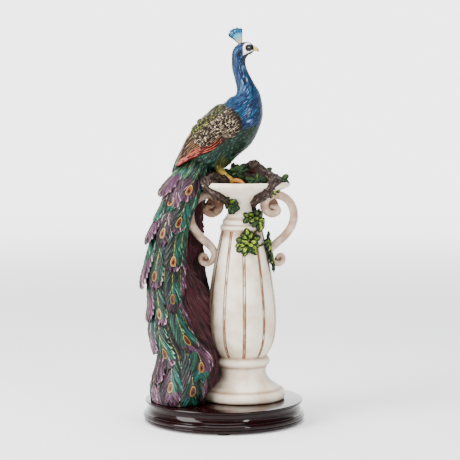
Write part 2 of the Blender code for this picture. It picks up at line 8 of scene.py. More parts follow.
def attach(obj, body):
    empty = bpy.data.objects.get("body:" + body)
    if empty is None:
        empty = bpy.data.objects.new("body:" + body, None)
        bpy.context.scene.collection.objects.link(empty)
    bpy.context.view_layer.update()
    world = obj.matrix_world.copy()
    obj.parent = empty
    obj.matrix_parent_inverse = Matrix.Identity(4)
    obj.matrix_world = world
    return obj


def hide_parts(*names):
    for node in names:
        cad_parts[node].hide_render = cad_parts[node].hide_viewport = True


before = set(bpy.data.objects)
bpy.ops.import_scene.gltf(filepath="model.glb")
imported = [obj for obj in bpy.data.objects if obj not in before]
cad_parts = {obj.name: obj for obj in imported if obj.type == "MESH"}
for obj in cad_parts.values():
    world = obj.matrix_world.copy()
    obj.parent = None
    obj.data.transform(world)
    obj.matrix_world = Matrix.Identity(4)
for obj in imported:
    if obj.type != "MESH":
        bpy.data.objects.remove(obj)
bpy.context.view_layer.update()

# The plinth: a disc of hardwood, turned with a lip, a hollow and a bead at the foot, stained dark
# mahogany and lacquered until it mirrors the room. The casting stands on it.

PLINTH_FOOT = 0.0020
PLINTH_TOP = 0.0269


class Paint:
    """A socket in one material. Arithmetic on it adds Math nodes, and node() adds any other."""

    def __init__(self, tree, socket=None):
        self.tree = tree
        self.socket = socket

    def node(self, kind, inputs=None, output=0, **settings):
        made = self.tree.nodes.new("ShaderNode" + kind)
        for name, value in settings.items():
            setattr(made, name, value)
        for name, value in (inputs or {}).items():
            if isinstance(value, Paint):
                self.tree.links.new(value.socket, made.inputs[name])
            else:
                made.inputs[name].default_value = value
        return Paint(self.tree, made.outputs[output])

    def math(self, operation, first, second=0.0):
        return self.node("Math", {0: first, 1: second}, operation=operation)

    def abs(self):
        return self.math("ABSOLUTE", self)

    def clamp(self):
        return self.node("Clamp", {"Value": self})

    def ease(self, low, high):
        """0 where this is below low and 1 above high, with a soft step between."""
        return self.node("MapRange", {"Value": self, "From Min": low, "From Max": high},
                         interpolation_type="SMOOTHSTEP")

    def least(self, other):
        return self.math("MINIMUM", self, other)

    def most(self, other):
        return self.math("MAXIMUM", self, other)

    def hypot(self, other):
        return self.math("SQRT", self * self + other * other)

    def mask(self, name):
        """A number that the mesh carries at its points."""
        return self.node("Attribute", output=2, attribute_name=name)

    def parts(self):
        """The three numbers of a point or a colour."""
        return [self.node("SeparateXYZ", {0: self}, part) for part in (0, 1, 2)]

    def lay(self, name):
        """Three numbers that the mesh carries at its points."""
        return self.node("Attribute", output=1, attribute_name=name).parts()

    def joined(self, x, y, z):
        return self.node("CombineXYZ", {0: x, 1: y, 2: z})

    def place(self):
        return self.node("TexCoord", output=3)

    def scaled(self, x, y, z):
        return self.node("VectorMath", {0: self, 1: (x, y, z)}, operation="MULTIPLY")

    def grain(self, where, scale, detail=3.0, rough=0.55):
        return self.node("TexNoise", {"Vector": where, "Scale": scale, "Detail": detail, "Roughness": rough})

    def mix(self, share, under, over):
        """Two colours mixed. A colour is painted, or a six-digit code, or four numbers."""
        under, over = (shade(colour) if isinstance(colour, str) else colour for colour in (under, over))
        return self.node("Mix", {0: share, 6: under, 7: over}, 2, data_type="RGBA")

    def dyed(self, low, high, under, over):
        """One colour where this is below low, eased into the other where it is above high."""
        return self.mix(self.ease(low, high), under, over)

    def bump(self, height, distance, strength):
        return self.node("Bump", {"Height": height, "Distance": distance, "Strength": strength})


for sign, operation in (("add", "ADD"), ("sub", "SUBTRACT"), ("mul", "MULTIPLY"), ("truediv", "DIVIDE")):
    setattr(Paint, f"__{sign}__", lambda self, other, operation=operation: self.math(operation, self, other))
    setattr(Paint, f"__r{sign}__", lambda self, other, operation=operation: self.math(operation, other, self))


def shade(code):
    """Linear colour of a paint from its six-digit code."""
    parts = [int(code[i:i + 2], 16) / 255 for i in (0, 2, 4)]
    return (*[(c / 12.92 if c <= 0.04045 else ((c + 0.055) / 1.055) ** 2.4) ** 1.35 for c in parts], 1.0)


def finish(name):
    """A new material, and the Paint that adds nodes to it."""
    made = bpy.data.materials.new(name)
    made.use_nodes = True
    made.node_tree.nodes["Principled BSDF"].inputs["Specular IOR Level"].default_value = 0.16
    return made, Paint(made.node_tree)


def coat(material, **sockets):
    """Sets the surface's sockets to plain values, or links what is painted to them."""
    shader = material.node_tree.nodes["Principled BSDF"]
    for name, value in sockets.items():
        socket = shader.inputs[name.replace("_", " ")]
        if isinstance(value, Paint):
            material.node_tree.links.new(value.socket, socket)
        else:
            socket.default_value = value


def form(name, sheets, material, crisp=None):
    """A mesh from sheets of (grid of points, whether its columns close, masks by name)."""
    points, quads, masks = [], [], {}
    start = 0
    for grid, closes, extra in sheets:
        rows, columns = grid.shape[:2]
        index = start + np.arange(rows * columns).reshape(rows, columns)
        if closes:
            index = np.hstack([index, index[:, :1]])
        quads.append(np.stack([index[:-1, :-1], index[:-1, 1:], index[1:, 1:], index[1:, :-1]], -1).reshape(-1, 4))
        points.append(grid.reshape(-1, 3))
        for mask, values in extra.items():
            masks.setdefault(mask, []).append((start, np.asarray(values, float).reshape(rows * columns, -1)))
        start += rows * columns
    mesh = bpy.data.meshes.new(name)
    mesh.from_pydata(np.concatenate(points).tolist(), [], np.concatenate(quads).tolist())
    for mask, chunks in masks.items():
        width = chunks[0][1].shape[1]
        whole = np.zeros((start, width))
        for first, values in chunks:
            whole[first:first + len(values)] = values
        layer = mesh.attributes.new(mask, "FLOAT" if width == 1 else "FLOAT_VECTOR", "POINT")
        layer.data.foreach_set("value" if width == 1 else "vector", whole.ravel())
    mesh.shade_smooth()
    if crisp:
        mesh.set_sharp_from_angle(angle=radians(crisp))
    mesh.materials.append(material)
    piece = bpy.data.objects.new(name, mesh)
    bpy.context.scene.collection.objects.link(piece)
    return piece


def build(name, sheets, material, crisp=None):
    """One piece of the figurine, which moves with the root body."""
    piece = form(name, sheets, material, crisp)
    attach(piece, "root")
    return piece


def circle(columns):
    """Angles, evenly all the way round."""
    return 2 * pi * np.arange(columns) / columns


def triple(x, y, z):
    """Three numbers at each point, spread to one shape."""
    return np.stack(np.broadcast_arrays(x, y, z), -1)


def spin(profile, columns):
    """A (radius, height) profile turned round a vertical axis."""
    turn = circle(columns)
    r, z = np.array(profile, float).T[..., None]
    return triple(r * np.cos(turn), r * np.sin(turn), z)


lip = [(0.0005, 1.0), (0.0933, 1.0), (0.0945, 0.992), (0.0950, 0.965), (0.0951, 0.935), (0.0948, 0.905),
       (0.0940, 0.885), (0.0930, 0.875), (0.0928, 0.855)]
hollow = [(0.0922, 0.83), (0.0918, 0.77), (0.0917, 0.70), (0.0920, 0.62), (0.0927, 0.54), (0.0938, 0.47),
          (0.0952, 0.425), (0.0959, 0.415), (0.0960, 0.385), (0.0953, 0.375)]
bead = [(0.0956, 0.365), (0.0966, 0.345), (0.0973, 0.305), (0.0975, 0.255), (0.0973, 0.205), (0.0966, 0.165),
        (0.0958, 0.150), (0.0957, 0.135), (0.0963, 0.125), (0.0965, 0.09), (0.0963, 0.03), (0.0955, 0.0), (0.0005, 0.0)]
turned = [(r, PLINTH_FOOT + (PLINTH_TOP - PLINTH_FOOT) * share) for r, share in lip + hollow + bead]

lacquer, p = finish("mahogany_lacquer")
along_grain = p.place().scaled(4.0, 60.0, 60.0)
streaks = p.grain(along_grain, 9.0, 6.0, 0.65)
pores = p.grain(p.place().scaled(18.0, 420.0, 420.0), 6.0, 2.0)
wood = streaks.dyed(0.35, 0.68, "140406", "360a10")
wood = p.mix(pores.ease(0.60, 0.75) * 0.15, wood, "0c0203")
coat(lacquer, Base_Color=wood, Roughness=0.16 + 0.06 * streaks, Coat_Weight=0.6, Coat_Roughness=0.05,
     Coat_IOR=1.34, Specular_IOR_Level=0.03,
     Normal=p.bump(p.grain(p.place(), 14.0, 1.0), 0.0002, 0.06))
plinth = build("turned_plinth", [(spin(turned, 192), True, {})], lacquer, crisp=32)
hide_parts("plinth")

# The pads: four dark rubber discs, cut from sheet and stuck under the plinth near its edge, so that it
# stands level and doesn't scratch the table.

rubber, p = finish("pad_rubber")
specks = p.grain(p.place(), 900.0, 2.0)
coat(rubber, Base_Color=p.mix(specks, "141414", "2c2b29"), Roughness=0.7 + 0.2 * specks,
     Normal=p.bump(specks, 0.0003, 0.5))
for name in ("pad_1", "pad_2", "pad_3", "pad_4"):
    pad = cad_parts[name]
    pad.data.materials.clear()
    pad.data.materials.append(rubber)

# The urn: cast resin, painted ivory, with brown glaze wiped into the paired lines that run down its body,
# and glaze with painted shade in the hollows of its mouldings. Painted shade with a brown wash darkens its
# left side, most at the foot where the train comes against it, and both of its outer sides a little.

URN_X = 0.0216
RIM_TOP = 0.2888
FLUTES = 10
URN_COLUMNS = 400


def split(profile, longest):
    """The same profile with more points, no further apart than this."""
    made = [profile[0]]
    for low, high in zip(profile, profile[1:]):
        count = max(1, int(hypot(high[0] - low[0], high[1] - low[1]) / longest))
        made += [tuple(a + (b - a) * k / count for a, b in zip(low, high)) for k in range(1, count + 1)]
    return made


foot_mould = [(0.0005, 0.0272), (0.0495, 0.0272), (0.0512, 0.0282), (0.0522, 0.0302), (0.0525, 0.0325),
              (0.0521, 0.0352), (0.0511, 0.0376), (0.0497, 0.0390), (0.0484, 0.0396), (0.0478, 0.0399)]
stem_mould = [(0.0470, 0.0405), (0.0440, 0.0425), (0.0405, 0.0448), (0.0370, 0.0472), (0.0335, 0.0505),
              (0.0308, 0.0540), (0.0292, 0.0580), (0.0288, 0.0615), (0.0293, 0.0645), (0.0304, 0.0668),
              (0.0320, 0.0685), (0.0332, 0.0703), (0.0338, 0.0722), (0.0336, 0.0742), (0.0326, 0.0762),
              (0.0312, 0.0776), (0.0300, 0.0783)]
body_mould = [(0.0301, 0.0793), (0.0328, 0.0832), (0.0356, 0.0880), (0.0382, 0.0940), (0.0402, 0.1020),
              (0.0414, 0.1110), (0.0419, 0.1210), (0.0415, 0.1320), (0.0406, 0.1430), (0.0392, 0.1545),
              (0.0374, 0.1665), (0.0355, 0.1790), (0.0335, 0.1900), (0.0312, 0.2020), (0.0288, 0.2130),
              (0.0267, 0.2230), (0.0252, 0.2295)]
collar_mould = [(0.0250, 0.2306), (0.0258, 0.2314), (0.0262, 0.2328), (0.0262, 0.2346), (0.0257, 0.2362),
                (0.0244, 0.2370), (0.0234, 0.2376), (0.0232, 0.2390), (0.0231, 0.2415), (0.0228, 0.2432),
                (0.0218, 0.2440)]
neck_mould = [(0.0209, 0.2450), (0.0190, 0.2475), (0.0170, 0.2510), (0.0157, 0.2545), (0.0151, 0.2580),
              (0.0158, 0.2615), (0.0178, 0.2648), (0.0212, 0.2670), (0.0258, 0.2690), (0.0316, 0.2715),
              (0.0384, 0.2745), (0.0452, 0.2778), (0.0520, 0.2808), (0.0562, 0.2828)]
rim_mould = [(0.0575, 0.2838), (0.0580, 0.2852), (0.0580, 0.2868), (0.0574, 0.2880), (0.0560, 0.2887),
             (0.0540, 0.2885), (0.0500, 0.2876), (0.0460, 0.2870), (0.0380, 0.2830), (0.0270, 0.2808), (0.0005, 0.2788)]
moulding = split(foot_mould + stem_mould + body_mould + collar_mould + neck_mould + rim_mould, 0.0016)
urn_grid = spin(moulding, URN_COLUMNS)
turn = circle(URN_COLUMNS)
heights = urn_grid[:, :, 2]
reach = np.hypot(urn_grid[:, :, 0], urn_grid[:, :, 1])

# The paired lines stop at the joint below and under the collar above
line_turn = 2 * pi / FLUTES
off_line = (turn - radians(-85.7) + line_turn / 2) % line_turn - line_turn / 2
off_mm = np.abs(off_line)[None, :] * reach * 1000
on_body = ((heights > 0.0790) & (heights < 0.2300)).astype(float)
groove = np.exp(-((off_mm - 1.45) / 0.45) ** 2) * on_body
strip = np.exp(-(off_mm / 1.45) ** 4) * on_body
swell = (1 - np.cos(2 * pi * off_line / line_turn))[None, :] * 0.5 * on_body
new_reach = reach - 0.0008 * groove - 0.0003 * strip - 0.0009 * (1 - swell) * on_body
urn_grid[:, :, :2] *= (new_reach / np.maximum(reach, 1e-6))[..., None]
urn_grid[:, :, 0] += URN_X
# Brown glaze and painted shade in the hollows of the mouldings, in bands at these heights
glaze_and_shade_bands = sum(np.exp(-((heights - level) / spread) ** 2) * (reach < limit) for level, spread, limit in (
    (0.0400, 0.0013, 0.06), (0.0672, 0.0020, 0.034), (0.0786, 0.0022, 0.04), (0.2302, 0.0018, 0.03),
    (0.2374, 0.0015, 0.03), (0.2446, 0.0024, 0.03), (0.2262, 0.0050, 0.03), (0.0272, 0.0020, 0.06)))
glaze_and_shade = np.clip(glaze_and_shade_bands, 0, 1)
# Painted shade with a brown wash: down the left side, more towards the foot, and a little at both outer sides
off_axis = (urn_grid[:, :, 0] - URN_X) / np.maximum(new_reach, 1e-6)
shade_and_wash = np.clip(-off_axis, 0, 1) ** 1.3 * np.clip((0.225 - heights) / 0.10, 0.25, 1)
shade_and_wash += 0.35 * np.clip((np.abs(off_axis) - 0.78) / 0.22, 0, 1)

ivory, p = finish("ivory_glaze")
cloud = p.grain(p.place(), 38.0, 4.0)
mottle = p.grain(p.place().scaled(1.0, 1.0, 0.35), 140.0, 4.0, 0.6)
paint = cloud.dyed(0.38, 0.72, "eee5d5", "dac9b1")
# Brown glaze and painted shade in the mouldings
paint = p.mix((p.mask("glaze_and_shade") * (0.55 + mottle * 0.9)).clamp() * 0.75, paint, "a27c5c")
rosy = p.mask("strip") * mottle.ease(0.3, 0.6)
paint = p.mix((rosy * 1.3).clamp(), paint, "a87a5a")
paint = p.mix((p.mask("groove") * (0.8 + mottle)).clamp(), paint, "4a2c1c")
# Painted shade and brown wash down the left side and at both outer sides
paint = p.mix((p.mask("shade_and_wash") * (0.65 + cloud)).clamp() * 0.9, paint, "4a3426")
coat(ivory, Base_Color=paint, Roughness=0.34 + 0.16 * mottle, Coat_Weight=0.10, Coat_Roughness=0.18,
     Normal=p.bump(mottle, 0.0004, 0.35))
urn = build("urn", [(urn_grid, True, {"groove": groove, "strip": strip, "glaze_and_shade": glaze_and_shade, "shade_and_wash": shade_and_wash})],
            ivory)
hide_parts("peacock_and_urn")

# The handles: a strap each side, cast with the urn, that rolls into a volute beside the neck and
# into a small curl on the body. Glaze and painted shade darken the rolls, and painted shade makes the
# left one the darker, most near its top.

UNIT = 0.183 / 154


def at(right, up, y=0.0):
    """Point on the bird's grid: units to the right of the urn's axis and above its rim."""
    return triple(URN_X + right * UNIT, y, RIM_TOP + up * UNIT)


def unit(lines):
    """The same directions, each one long."""
    return lines / np.linalg.norm(lines, axis=-1, keepdims=True)


def flow(rows, steps):
    """Rows of numbers on a smooth curve through these rows, with this many steps between each two."""
    table = np.array(rows, float)
    padded = np.vstack([table[:1], table, table[-1:]])
    t = np.arange(steps)[:, None] / steps
    made = []
    for a, b, c, d in zip(padded, padded[1:], padded[2:], padded[3:]):
        made.append(0.5 * (2 * b + (c - a) * t + (2 * a - 5 * b + 4 * c - d) * t ** 2
                           + (3 * b - a - 3 * c + d) * t ** 3))
    return np.vstack(made + [table[-1:]])


def hose(path, radii, columns, flat=1.0):
    """A bent rod through these points. flat is its depth against its breadth."""
    path = np.asarray(path, float)
    radii = np.asarray(radii, float)
    along = unit(np.gradient(path, axis=0))
    side = np.array([0.0, 1.0, 0.0])
    turn = circle(columns)
    rings = []
    for point, radius, ahead in zip(path, radii, along):
        side = unit(side - ahead * side.dot(ahead))
        across = np.cross(ahead, side)
        rings.append(point + radius * (np.cos(turn)[:, None] * across + flat * np.sin(turn)[:, None] * side))
    first, last = path[0] + 0 * rings[0], path[-1] + 0 * rings[0]
    return np.array([first * 0.98 + rings[0] * 0.02] + rings + [last * 0.98 + rings[-1] * 0.02])


# Units right of the urn's axis and over its rim, and the strap's half thickness, in units
scroll = [
    (29.0, -23.8, 2.6), (30.2, -25.0, 3.2), (34.2, -26.0, 3.2), (35.6, -30.4, 3.6), (29.0, -32.4, 4.3),
    (22.6, -27.0, 4.5), (23.4, -18.6, 4.5), (31.0, -13.8, 4.4), (40.0, -15.0, 4.3), (47.3, -20.6, 4.2),
    (51.2, -28.6, 4.2), (51.7, -37.8, 4.2), (48.7, -46.8, 4.2), (42.2, -55.4, 4.2), (34.6, -62.2, 4.2),
    (28.4, -69.2, 3.6), (27.6, -76.0, 3.2), (31.0, -81.8, 3.0), (37.0, -83.2, 3.0), (41.0, -79.6, 2.9),
    (39.6, -75.0, 2.7), (36.2, -75.6, 2.3), (36.6, -78.2, 1.6),
]
glaze, p = finish("handle_glaze")
cloud = p.grain(p.place(), 60.0, 4.0)
mottle = p.grain(p.place(), 260.0, 4.0, 0.6)
paint = cloud.dyed(0.35, 0.7, "d8c6b6", "b0957f")
# Glaze and painted shade in the rolls
paint = p.mix((p.mask("glaze_and_shade") * (0.8 + mottle)).clamp() * 0.9, paint, "6b4a34")
# Painted shade over the left handle
paint = p.mix((p.mask("shade_and_wash") * (0.35 + cloud)).clamp(), paint, "6b4c38")
coat(glaze, Base_Color=paint, Roughness=0.36 + 0.16 * mottle, Coat_Weight=0.08, Coat_Roughness=0.2,
     Normal=p.bump(mottle, 0.0004, 0.35))
# The webs that close the volutes: share of their radius and of their half thickness
button = np.array([(0.02, 1.0), (0.35, 0.96), (0.7, 0.72), (1.0, 0.3),
                   (1.0, -0.3), (0.7, -0.72), (0.35, -0.96), (0.02, -1.0)])
turn = circle(24)
line = flow(scroll, 8)
for label, side in (("right", 1), ("left", -1)):
    strap = hose(at(side * (line[:, 0] + 0.5), line[:, 1]), line[:, 2] * UNIT, 20)
    # Glaze and painted shade deepen towards the middles of the rolls
    roll_glaze_and_shade = np.zeros(strap.shape[:2])
    for (right, up), reach_out in (((31.6, -21.4), 6.0), ((28.6, -28.4), 5.0), ((38.6, -78.0), 5.0)):
        away = np.linalg.norm(strap - at(side * (right + 0.5), up), axis=2) / UNIT
        roll_glaze_and_shade = np.maximum(roll_glaze_and_shade, np.clip(1.3 - away / reach_out * 1.3, 0, 1) ** 1.3)
    # Painted shade over the left handle, deeper towards its top; the right one has none
    dark = 0 * roll_glaze_and_shade if side > 0 else np.clip((strap[:, :, 2] - 0.235) / 0.02, 0.06, 0.8)
    sheets = [(strap, True, {"glaze_and_shade": roll_glaze_and_shade, "shade_and_wash": dark})]
    for right, up, size, deep in ((28.0, -24.4, 8.6, 0.0016), (37.4, -78.6, 4.8, 0.0012)):
        round_r = button[:, :1] * size * UNIT
        disc = triple(round_r * np.cos(turn), button[:, 1:] * deep, round_r * np.sin(turn))
        disc = disc + at(side * (right + 0.5), up)
        # The webs lie deep in the rolls and take the glaze and painted shade all over
        flat = np.ones(disc.shape[:2])
        sheets.append((disc, True, {"glaze_and_shade": flat, "shade_and_wash": flat * dark.max()}))
    handle = build(f"handle_{label}", sheets, glaze)
    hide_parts("peacock_and_urn")

# The branch: a gnarled piece of wood that the bird grips, modelled and cast in one with the urn. It
# bridges the mouth, and one limb crawls over the rim to the neck. Dark bark, dry-brushed mauve-grey.


def swell(grid, height):
    """Moves each point of a closed sheet out along the sheet's normal."""
    wide = np.concatenate([grid[:, -1:], grid, grid[:, :1]], 1)
    normal = np.cross(wide[:, 2:] - wide[:, :-2], np.gradient(grid, axis=0))
    normal /= np.maximum(np.linalg.norm(normal, axis=2, keepdims=True), 1e-9)
    return grid + normal * np.asarray(height)[..., None]


def lumps(grid, scale, seed=0.0, detail=3):
    """Soft random heights, about -1 to 1, at each point of a sheet."""
    flat = [noise.fractal(Vector((x * scale + seed, y * scale, z * scale)), 0.6, 2.0, detail)
            for x, y, z in grid.reshape(-1, 3).tolist()]
    return np.array(flat).reshape(grid.shape[:2])


def travelled(points):
    """How far along a line of points each of them is."""
    return np.cumsum(np.r_[0, np.linalg.norm(np.diff(points, axis=0), axis=1)])


def on_urn(degrees, height, out=0.0):
    """Point on the urn's side, degrees round from its front, and the way out from there."""
    angle = radians(degrees)
    reach = np.interp(height, moulding_z, moulding_r) + out
    return np.array([URN_X + reach * sin(angle), -reach * cos(angle), height])


side_line = foot_mould[1:] + stem_mould + body_mould + collar_mould + neck_mould + rim_mould[:2]
moulding_r, moulding_z = zip(*side_line)

# Units right, over the rim and back, and the radius, in units
trunk = [
    (-14.0, -24.0, -11.0, 2.2), (-18.5, -17.0, -18.5, 3.8), (-25.5, -9.0, -27.8, 5.0), (-31.5, -1.5, -31.0, 6.2),
    (-25.0, 1.4, -14.3, 6.6), (-10.0, -3.2, 0.0, 6.2), (1.0, 3.4, 0.0, 7.4), (9.5, 8.8, 0.0, 9.2),
    (18.0, 8.4, 0.0, 8.6), (26.5, 3.6, -3.4, 6.8), (34.0, 0.8, -5.0, 5.4), (41.0, -1.6, -5.9, 3.2),
    (47.0, -4.6, -5.9, 1.6),
]
strand = [(-15.0, -21.0, -10.5, 1.4), (-21.5, -15.5, -16.5, 2.0), (-27.0, -5.0, -29.0, 2.6), (-33.5, 2.0, -34.0, 2.6),
          (-27.5, 5.6, -24.0, 2.8), (-14.0, 2.0, -7.0, 2.2)]
saddle = [(-46.0, 1.0, -4.0, 2.2), (-42.0, 1.4, -13.0, 4.4), (-37.5, -0.5, -22.0, 5.4), (-33.0, -4.5, -28.0, 5.4),
          (-28.0, -10.0, -28.0, 4.4), (-22.5, -16.0, -21.0, 2.6)]
stub = [(-9.5, 0.0, 3.4, 3.8), (-9.2, 8.0, 3.4, 3.3), (-8.6, 14.0, 3.4, 2.7), (-9.6, 18.2, 3.4, 1.6)]
burr = [(10.5, 9.0, -2.5, 6.6), (12.0, 14.5, -2.5, 5.2), (13.5, 17.8, -2.5, 3.4), (14.2, 19.8, -2.5, 1.4)]
bough = [(at(28.0, 4.0, -0.006), 6.0), (at(33.0, 2.0, -0.028), 5.2), (on_urn(37, 0.2868, -0.001), 5.2),
         (on_urn(36, 0.2790, 0.002), 5.6), (on_urn(34, 0.2722, 0.002), 4.8), (on_urn(42, 0.2662, 0.002), 3.8),
         (on_urn(56, 0.2582, 0.0015), 3.0), (on_urn(60, 0.2500, 0.001), 2.2), (on_urn(52, 0.2446, 0.001), 1.5)]
TRUNK, BURR = 0, 4
BARK_COLUMNS = 56


def rod(rows, columns, shift=0.0):
    """A bent rod through rows of (units right, up, back, radius) or of (point, radius)."""
    placed = [[*(at(row[0] + shift, row[1], row[2] * UNIT) if len(row) == 4 else row[0]), row[-1] * UNIT]
              for row in rows]
    line = flow(placed, 14)
    return hose(line[:, :3], line[:, 3], columns)


turn = circle(BARK_COLUMNS)
bark_sheets = []
for number, rows in enumerate((trunk, strand, saddle, stub, burr, bough)):
    limb = rod(rows, BARK_COLUMNS)
    length = travelled(limb.mean(1)) * 1000
    twist = turn * 3 + length[:, None] * 0.05
    plates = lumps(limb, 160.0, number * 3.0)
    ridge = np.abs(np.sin(twist + plates * 1.6)) + 0.5 * np.abs(np.sin(twist * 2.3 + plates * 2.5 + 1))
    hole = np.zeros(limb.shape[:2])
    if number in (TRUNK, BURR):
        for right, up, size in ((10.0, 10.5, 5.0), (-3.0, 3.0, 3.0)):
            off = limb - at(right, up)
            away = np.hypot(off[:, :, 0], off[:, :, 2] * 1.5) / UNIT
            hole += np.where(limb[:, :, 1] < 0.004, np.clip(1.3 - away / size, 0, 1), 0)
        hole = np.clip(hole, 0, 1)
    knots = lumps(limb, 60.0, number + 9.0, 2)
    bumpy = 0.0010 * (ridge - 0.75) + 0.0008 * plates + 0.0030 * knots - 0.0032 * hole
    limb = swell(limb, -bumpy)
    run = triple(turn * 3.5, length[:, None], number)
    bark_sheets.append((limb, True, {"ridge": np.clip(ridge / 1.5 - hole, 0, 1), "hole": hole, "run": run}))

bark, p = finish("bark")
wavy = p.grain(p.place(), 120.0, 2.0) * 3.0
round_it, down_it, limb_number = p.lay("run")
fibres = p.grain(p.joined(round_it * 1.1 + wavy, down_it * 0.16, limb_number * 7.0), 1.0, 4.0, 0.6)
patches = p.grain(p.place(), 95.0, 3.0)
height = p.mask("ridge")
wood = fibres.dyed(0.3, 0.7, "120c0a", "4a392f")
wood = p.mix(patches.ease(0.48, 0.64) * fibres.ease(0.3, 0.6) * 0.6, wood, "584846")
wood = p.mix((height.ease(0.55, 0.95) * fibres.ease(0.50, 0.64) * 0.6).clamp(), wood, "a3938a")
wood = p.mix(p.mask("hole").ease(0.1, 0.6), wood, fibres.dyed(0.4, 0.7, "140604", "5c2a1a"))
coat(bark, Base_Color=wood, Roughness=0.42 + 0.3 * fibres, Normal=p.bump(fibres + 0.6 * height, 0.0009, 0.8))
branch = build("branch", bark_sheets, bark)
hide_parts("peacock_and_urn")

# The bird: head, neck and body, sculpted with small overlapping feathers and cast. Metallic blue over
# black on the head, neck and breast, bottle green on the belly, with a white face and a dark throat.

# Units right and over the rim, and half the depth and half the breadth of the body there
BODY = [
    (12.0, 132.6, 2.6, 2.2), (8.6, 132.8, 5.6, 4.8), (3.6, 132.6, 7.2, 6.4), (-1.7, 128.8, 7.9, 6.9),
    (-3.4, 121.6, 7.0, 6.4), (-2.8, 113.4, 7.2, 6.6), (-0.2, 105.4, 7.7, 7.2), (3.8, 94.4, 9.6, 9.0),
    (5.4, 85.6, 13.6, 12.5), (3.4, 76.6, 18.6, 16.5), (-1.2, 66.0, 22.4, 20.0), (-9.5, 56.4, 26.4, 22.0),
    (-22.0, 44.6, 26.0, 22.0), (-34.0, 31.0, 24.4, 20.0), (-46.0, 21.4, 19.5, 18.0), (-55.0, 12.4, 15.0, 16.0),
    (-62.0, 3.0, 11.0, 13.0),
]
TILES_ROUND = 26
TILE_COLUMNS, TILE_ROWS = 8, 7
EYE_RIGHT, EYE_UP = 6.6, 133.2


def tiles(across, along):
    """Overlapping rounded feathers on a surface: how high each point lies on its own one, and its rim."""
    row = np.floor(along)

    def reach(row):
        u = (across + 0.5 * (row % 2)) % 1.0 - 0.5
        return (along - row) / (1.0 + 0.75 * np.sqrt(np.maximum(0, 1 - (2 * u) ** 2))), u

    upper, side = reach(row - 1)
    lower, under_side = reach(row)
    return np.where(upper < 1.0, upper, lower), np.where(upper < 1.0, side, under_side)


line = flow(BODY, 24)
track = np.linalg.norm(np.diff(line[:, :2], axis=0), axis=1)
size = 2 * pi * (line[:, 2] + line[:, 3]) / 2 / TILES_ROUND * 1.15
rows_along = np.cumsum(np.r_[0, track / ((size[1:] + size[:-1]) / 2)])
evenly = np.arange(0, rows_along[-1], 1 / TILE_ROWS)
line = np.stack([np.interp(evenly, rows_along, column) for column in line.T], 1)
centre = at(line[:, 0], line[:, 1])
across = np.cross(unit(np.gradient(centre, axis=0)), (0, 1, 0))
turn = circle(TILES_ROUND * TILE_COLUMNS)
bird_grid = (centre[:, None] + across[:, None] * (line[:, 2:3] * UNIT * np.cos(turn))[..., None]
             + np.array([0, 1, 0]) * (line[:, 3:4] * UNIT * np.sin(turn))[..., None])


def spots(grid):
    """Where each point shows in the side view, in units, and how far it is from the middle."""
    side = grid[:, :, 1] / UNIT
    return triple((grid[:, :, 0] - URN_X) / UNIT, (grid[:, :, 2] - RIM_TOP) / UNIT - 0.081 * np.abs(side), side)


spot = spots(bird_grid)
place, own = tiles(turn / (2 * pi) * TILES_ROUND, evenly[:, None])
face = (spot[:, :, 0] > 0.5) & (spot[:, :, 1] > 125)
relief = np.where(face, 0.0, (0.00022 + 0.0006 * np.clip((70 - line[:, 1]) / 30, 0, 1))[:, None])
eye_socket = np.exp(-((spot[:, :, 0] - EYE_RIGHT) ** 2 + (spot[:, :, 1] - EYE_UP) ** 2) / 5)
bird_grid = swell(bird_grid, relief * (place ** 1.5 - 0.4) - 0.0010 * eye_socket)
girth_mm = (turn - pi) * (line[:, 2:3] + line[:, 3:4]) / 2 * UNIT * 1000
along_mm = travelled(centre)[:, None] * 1000

plumage, p = finish("bird_plumage")
right, up = p.lay("spot")[:2]
over, tip = p.lay("tile")[:2]
round_it, down_it, _ = p.lay("run")
brushed = p.joined(round_it * 0.8, down_it * 0.11, 0.0)
streak = p.grain(brushed, 1.1, 4.0, 0.6)
broad = p.grain(brushed, 0.22, 3.0)
wander = (p.grain(p.place(), 160.0, 3.0) - 0.5) * 7.0
low = right.ease(-3.5, 1.0)
hem = (66.0 - 0.69 * (right + 2.5)) * (1.0 - low) + (50.0 + 0.33 * (right + 1.0)) * low
is_blue = (up - hem + wander).ease(-2.0, 2.5)
fine = p.grain(brushed, 2.2, 3.0)
blue = p.mix((streak * 0.6 + fine * 0.4).ease(0.42, 0.58), "040a18", "1a4672")
blue = p.mix(broad.ease(0.48, 0.62) * 0.75, blue, streak.dyed(0.38, 0.6, "06222e", "1f7a98"))
# Painted highlight in pale strokes down the front of the neck and breast
front = (6.5 - (right - 1.0 - (118.0 - up) * 0.10).abs()).ease(0.0, 6.0)
blue = p.mix((streak.ease(0.54, 0.68) * (front * 0.8 + 0.12)).clamp(), blue, "9cb2e0")
blue = p.mix((tip.ease(0.80, 1.0) * streak.ease(0.4, 0.6) * 0.3).clamp(), blue, "4a9cc4")
green = streak.dyed(0.38, 0.62, "020a06", "0b3524")
green = p.mix(broad.ease(0.5, 0.74) * 0.7, green, "0d4a4c")
fleck = p.grain(brushed, 1.5, 3.0)
green = p.mix((fleck.ease(0.56, 0.68) * (0.25 + tip * 0.45)).clamp(), green, "6fa68a")
lime = (12.0 - (right + 19.0).abs() * 0.9 - (up - 15.0).abs() * 0.8).ease(0.0, 8.0)
green = p.mix(lime * fleck.ease(0.4, 0.6) * 0.3, green, "9a9a4c")
mantle = (up - (77.4 + 0.943 * (right + 19.5)) + 13.0).ease(0.0, 4.0) * (-13.0 - right).ease(0.0, 4.0)
olive = streak.dyed(0.40, 0.62, "232a0e", "9fae52")
green = p.mix(mantle * 0.9, green, p.mix(tip.ease(0.55, 0.95), "1c2410", olive))
skin = p.mix(is_blue, green, blue)
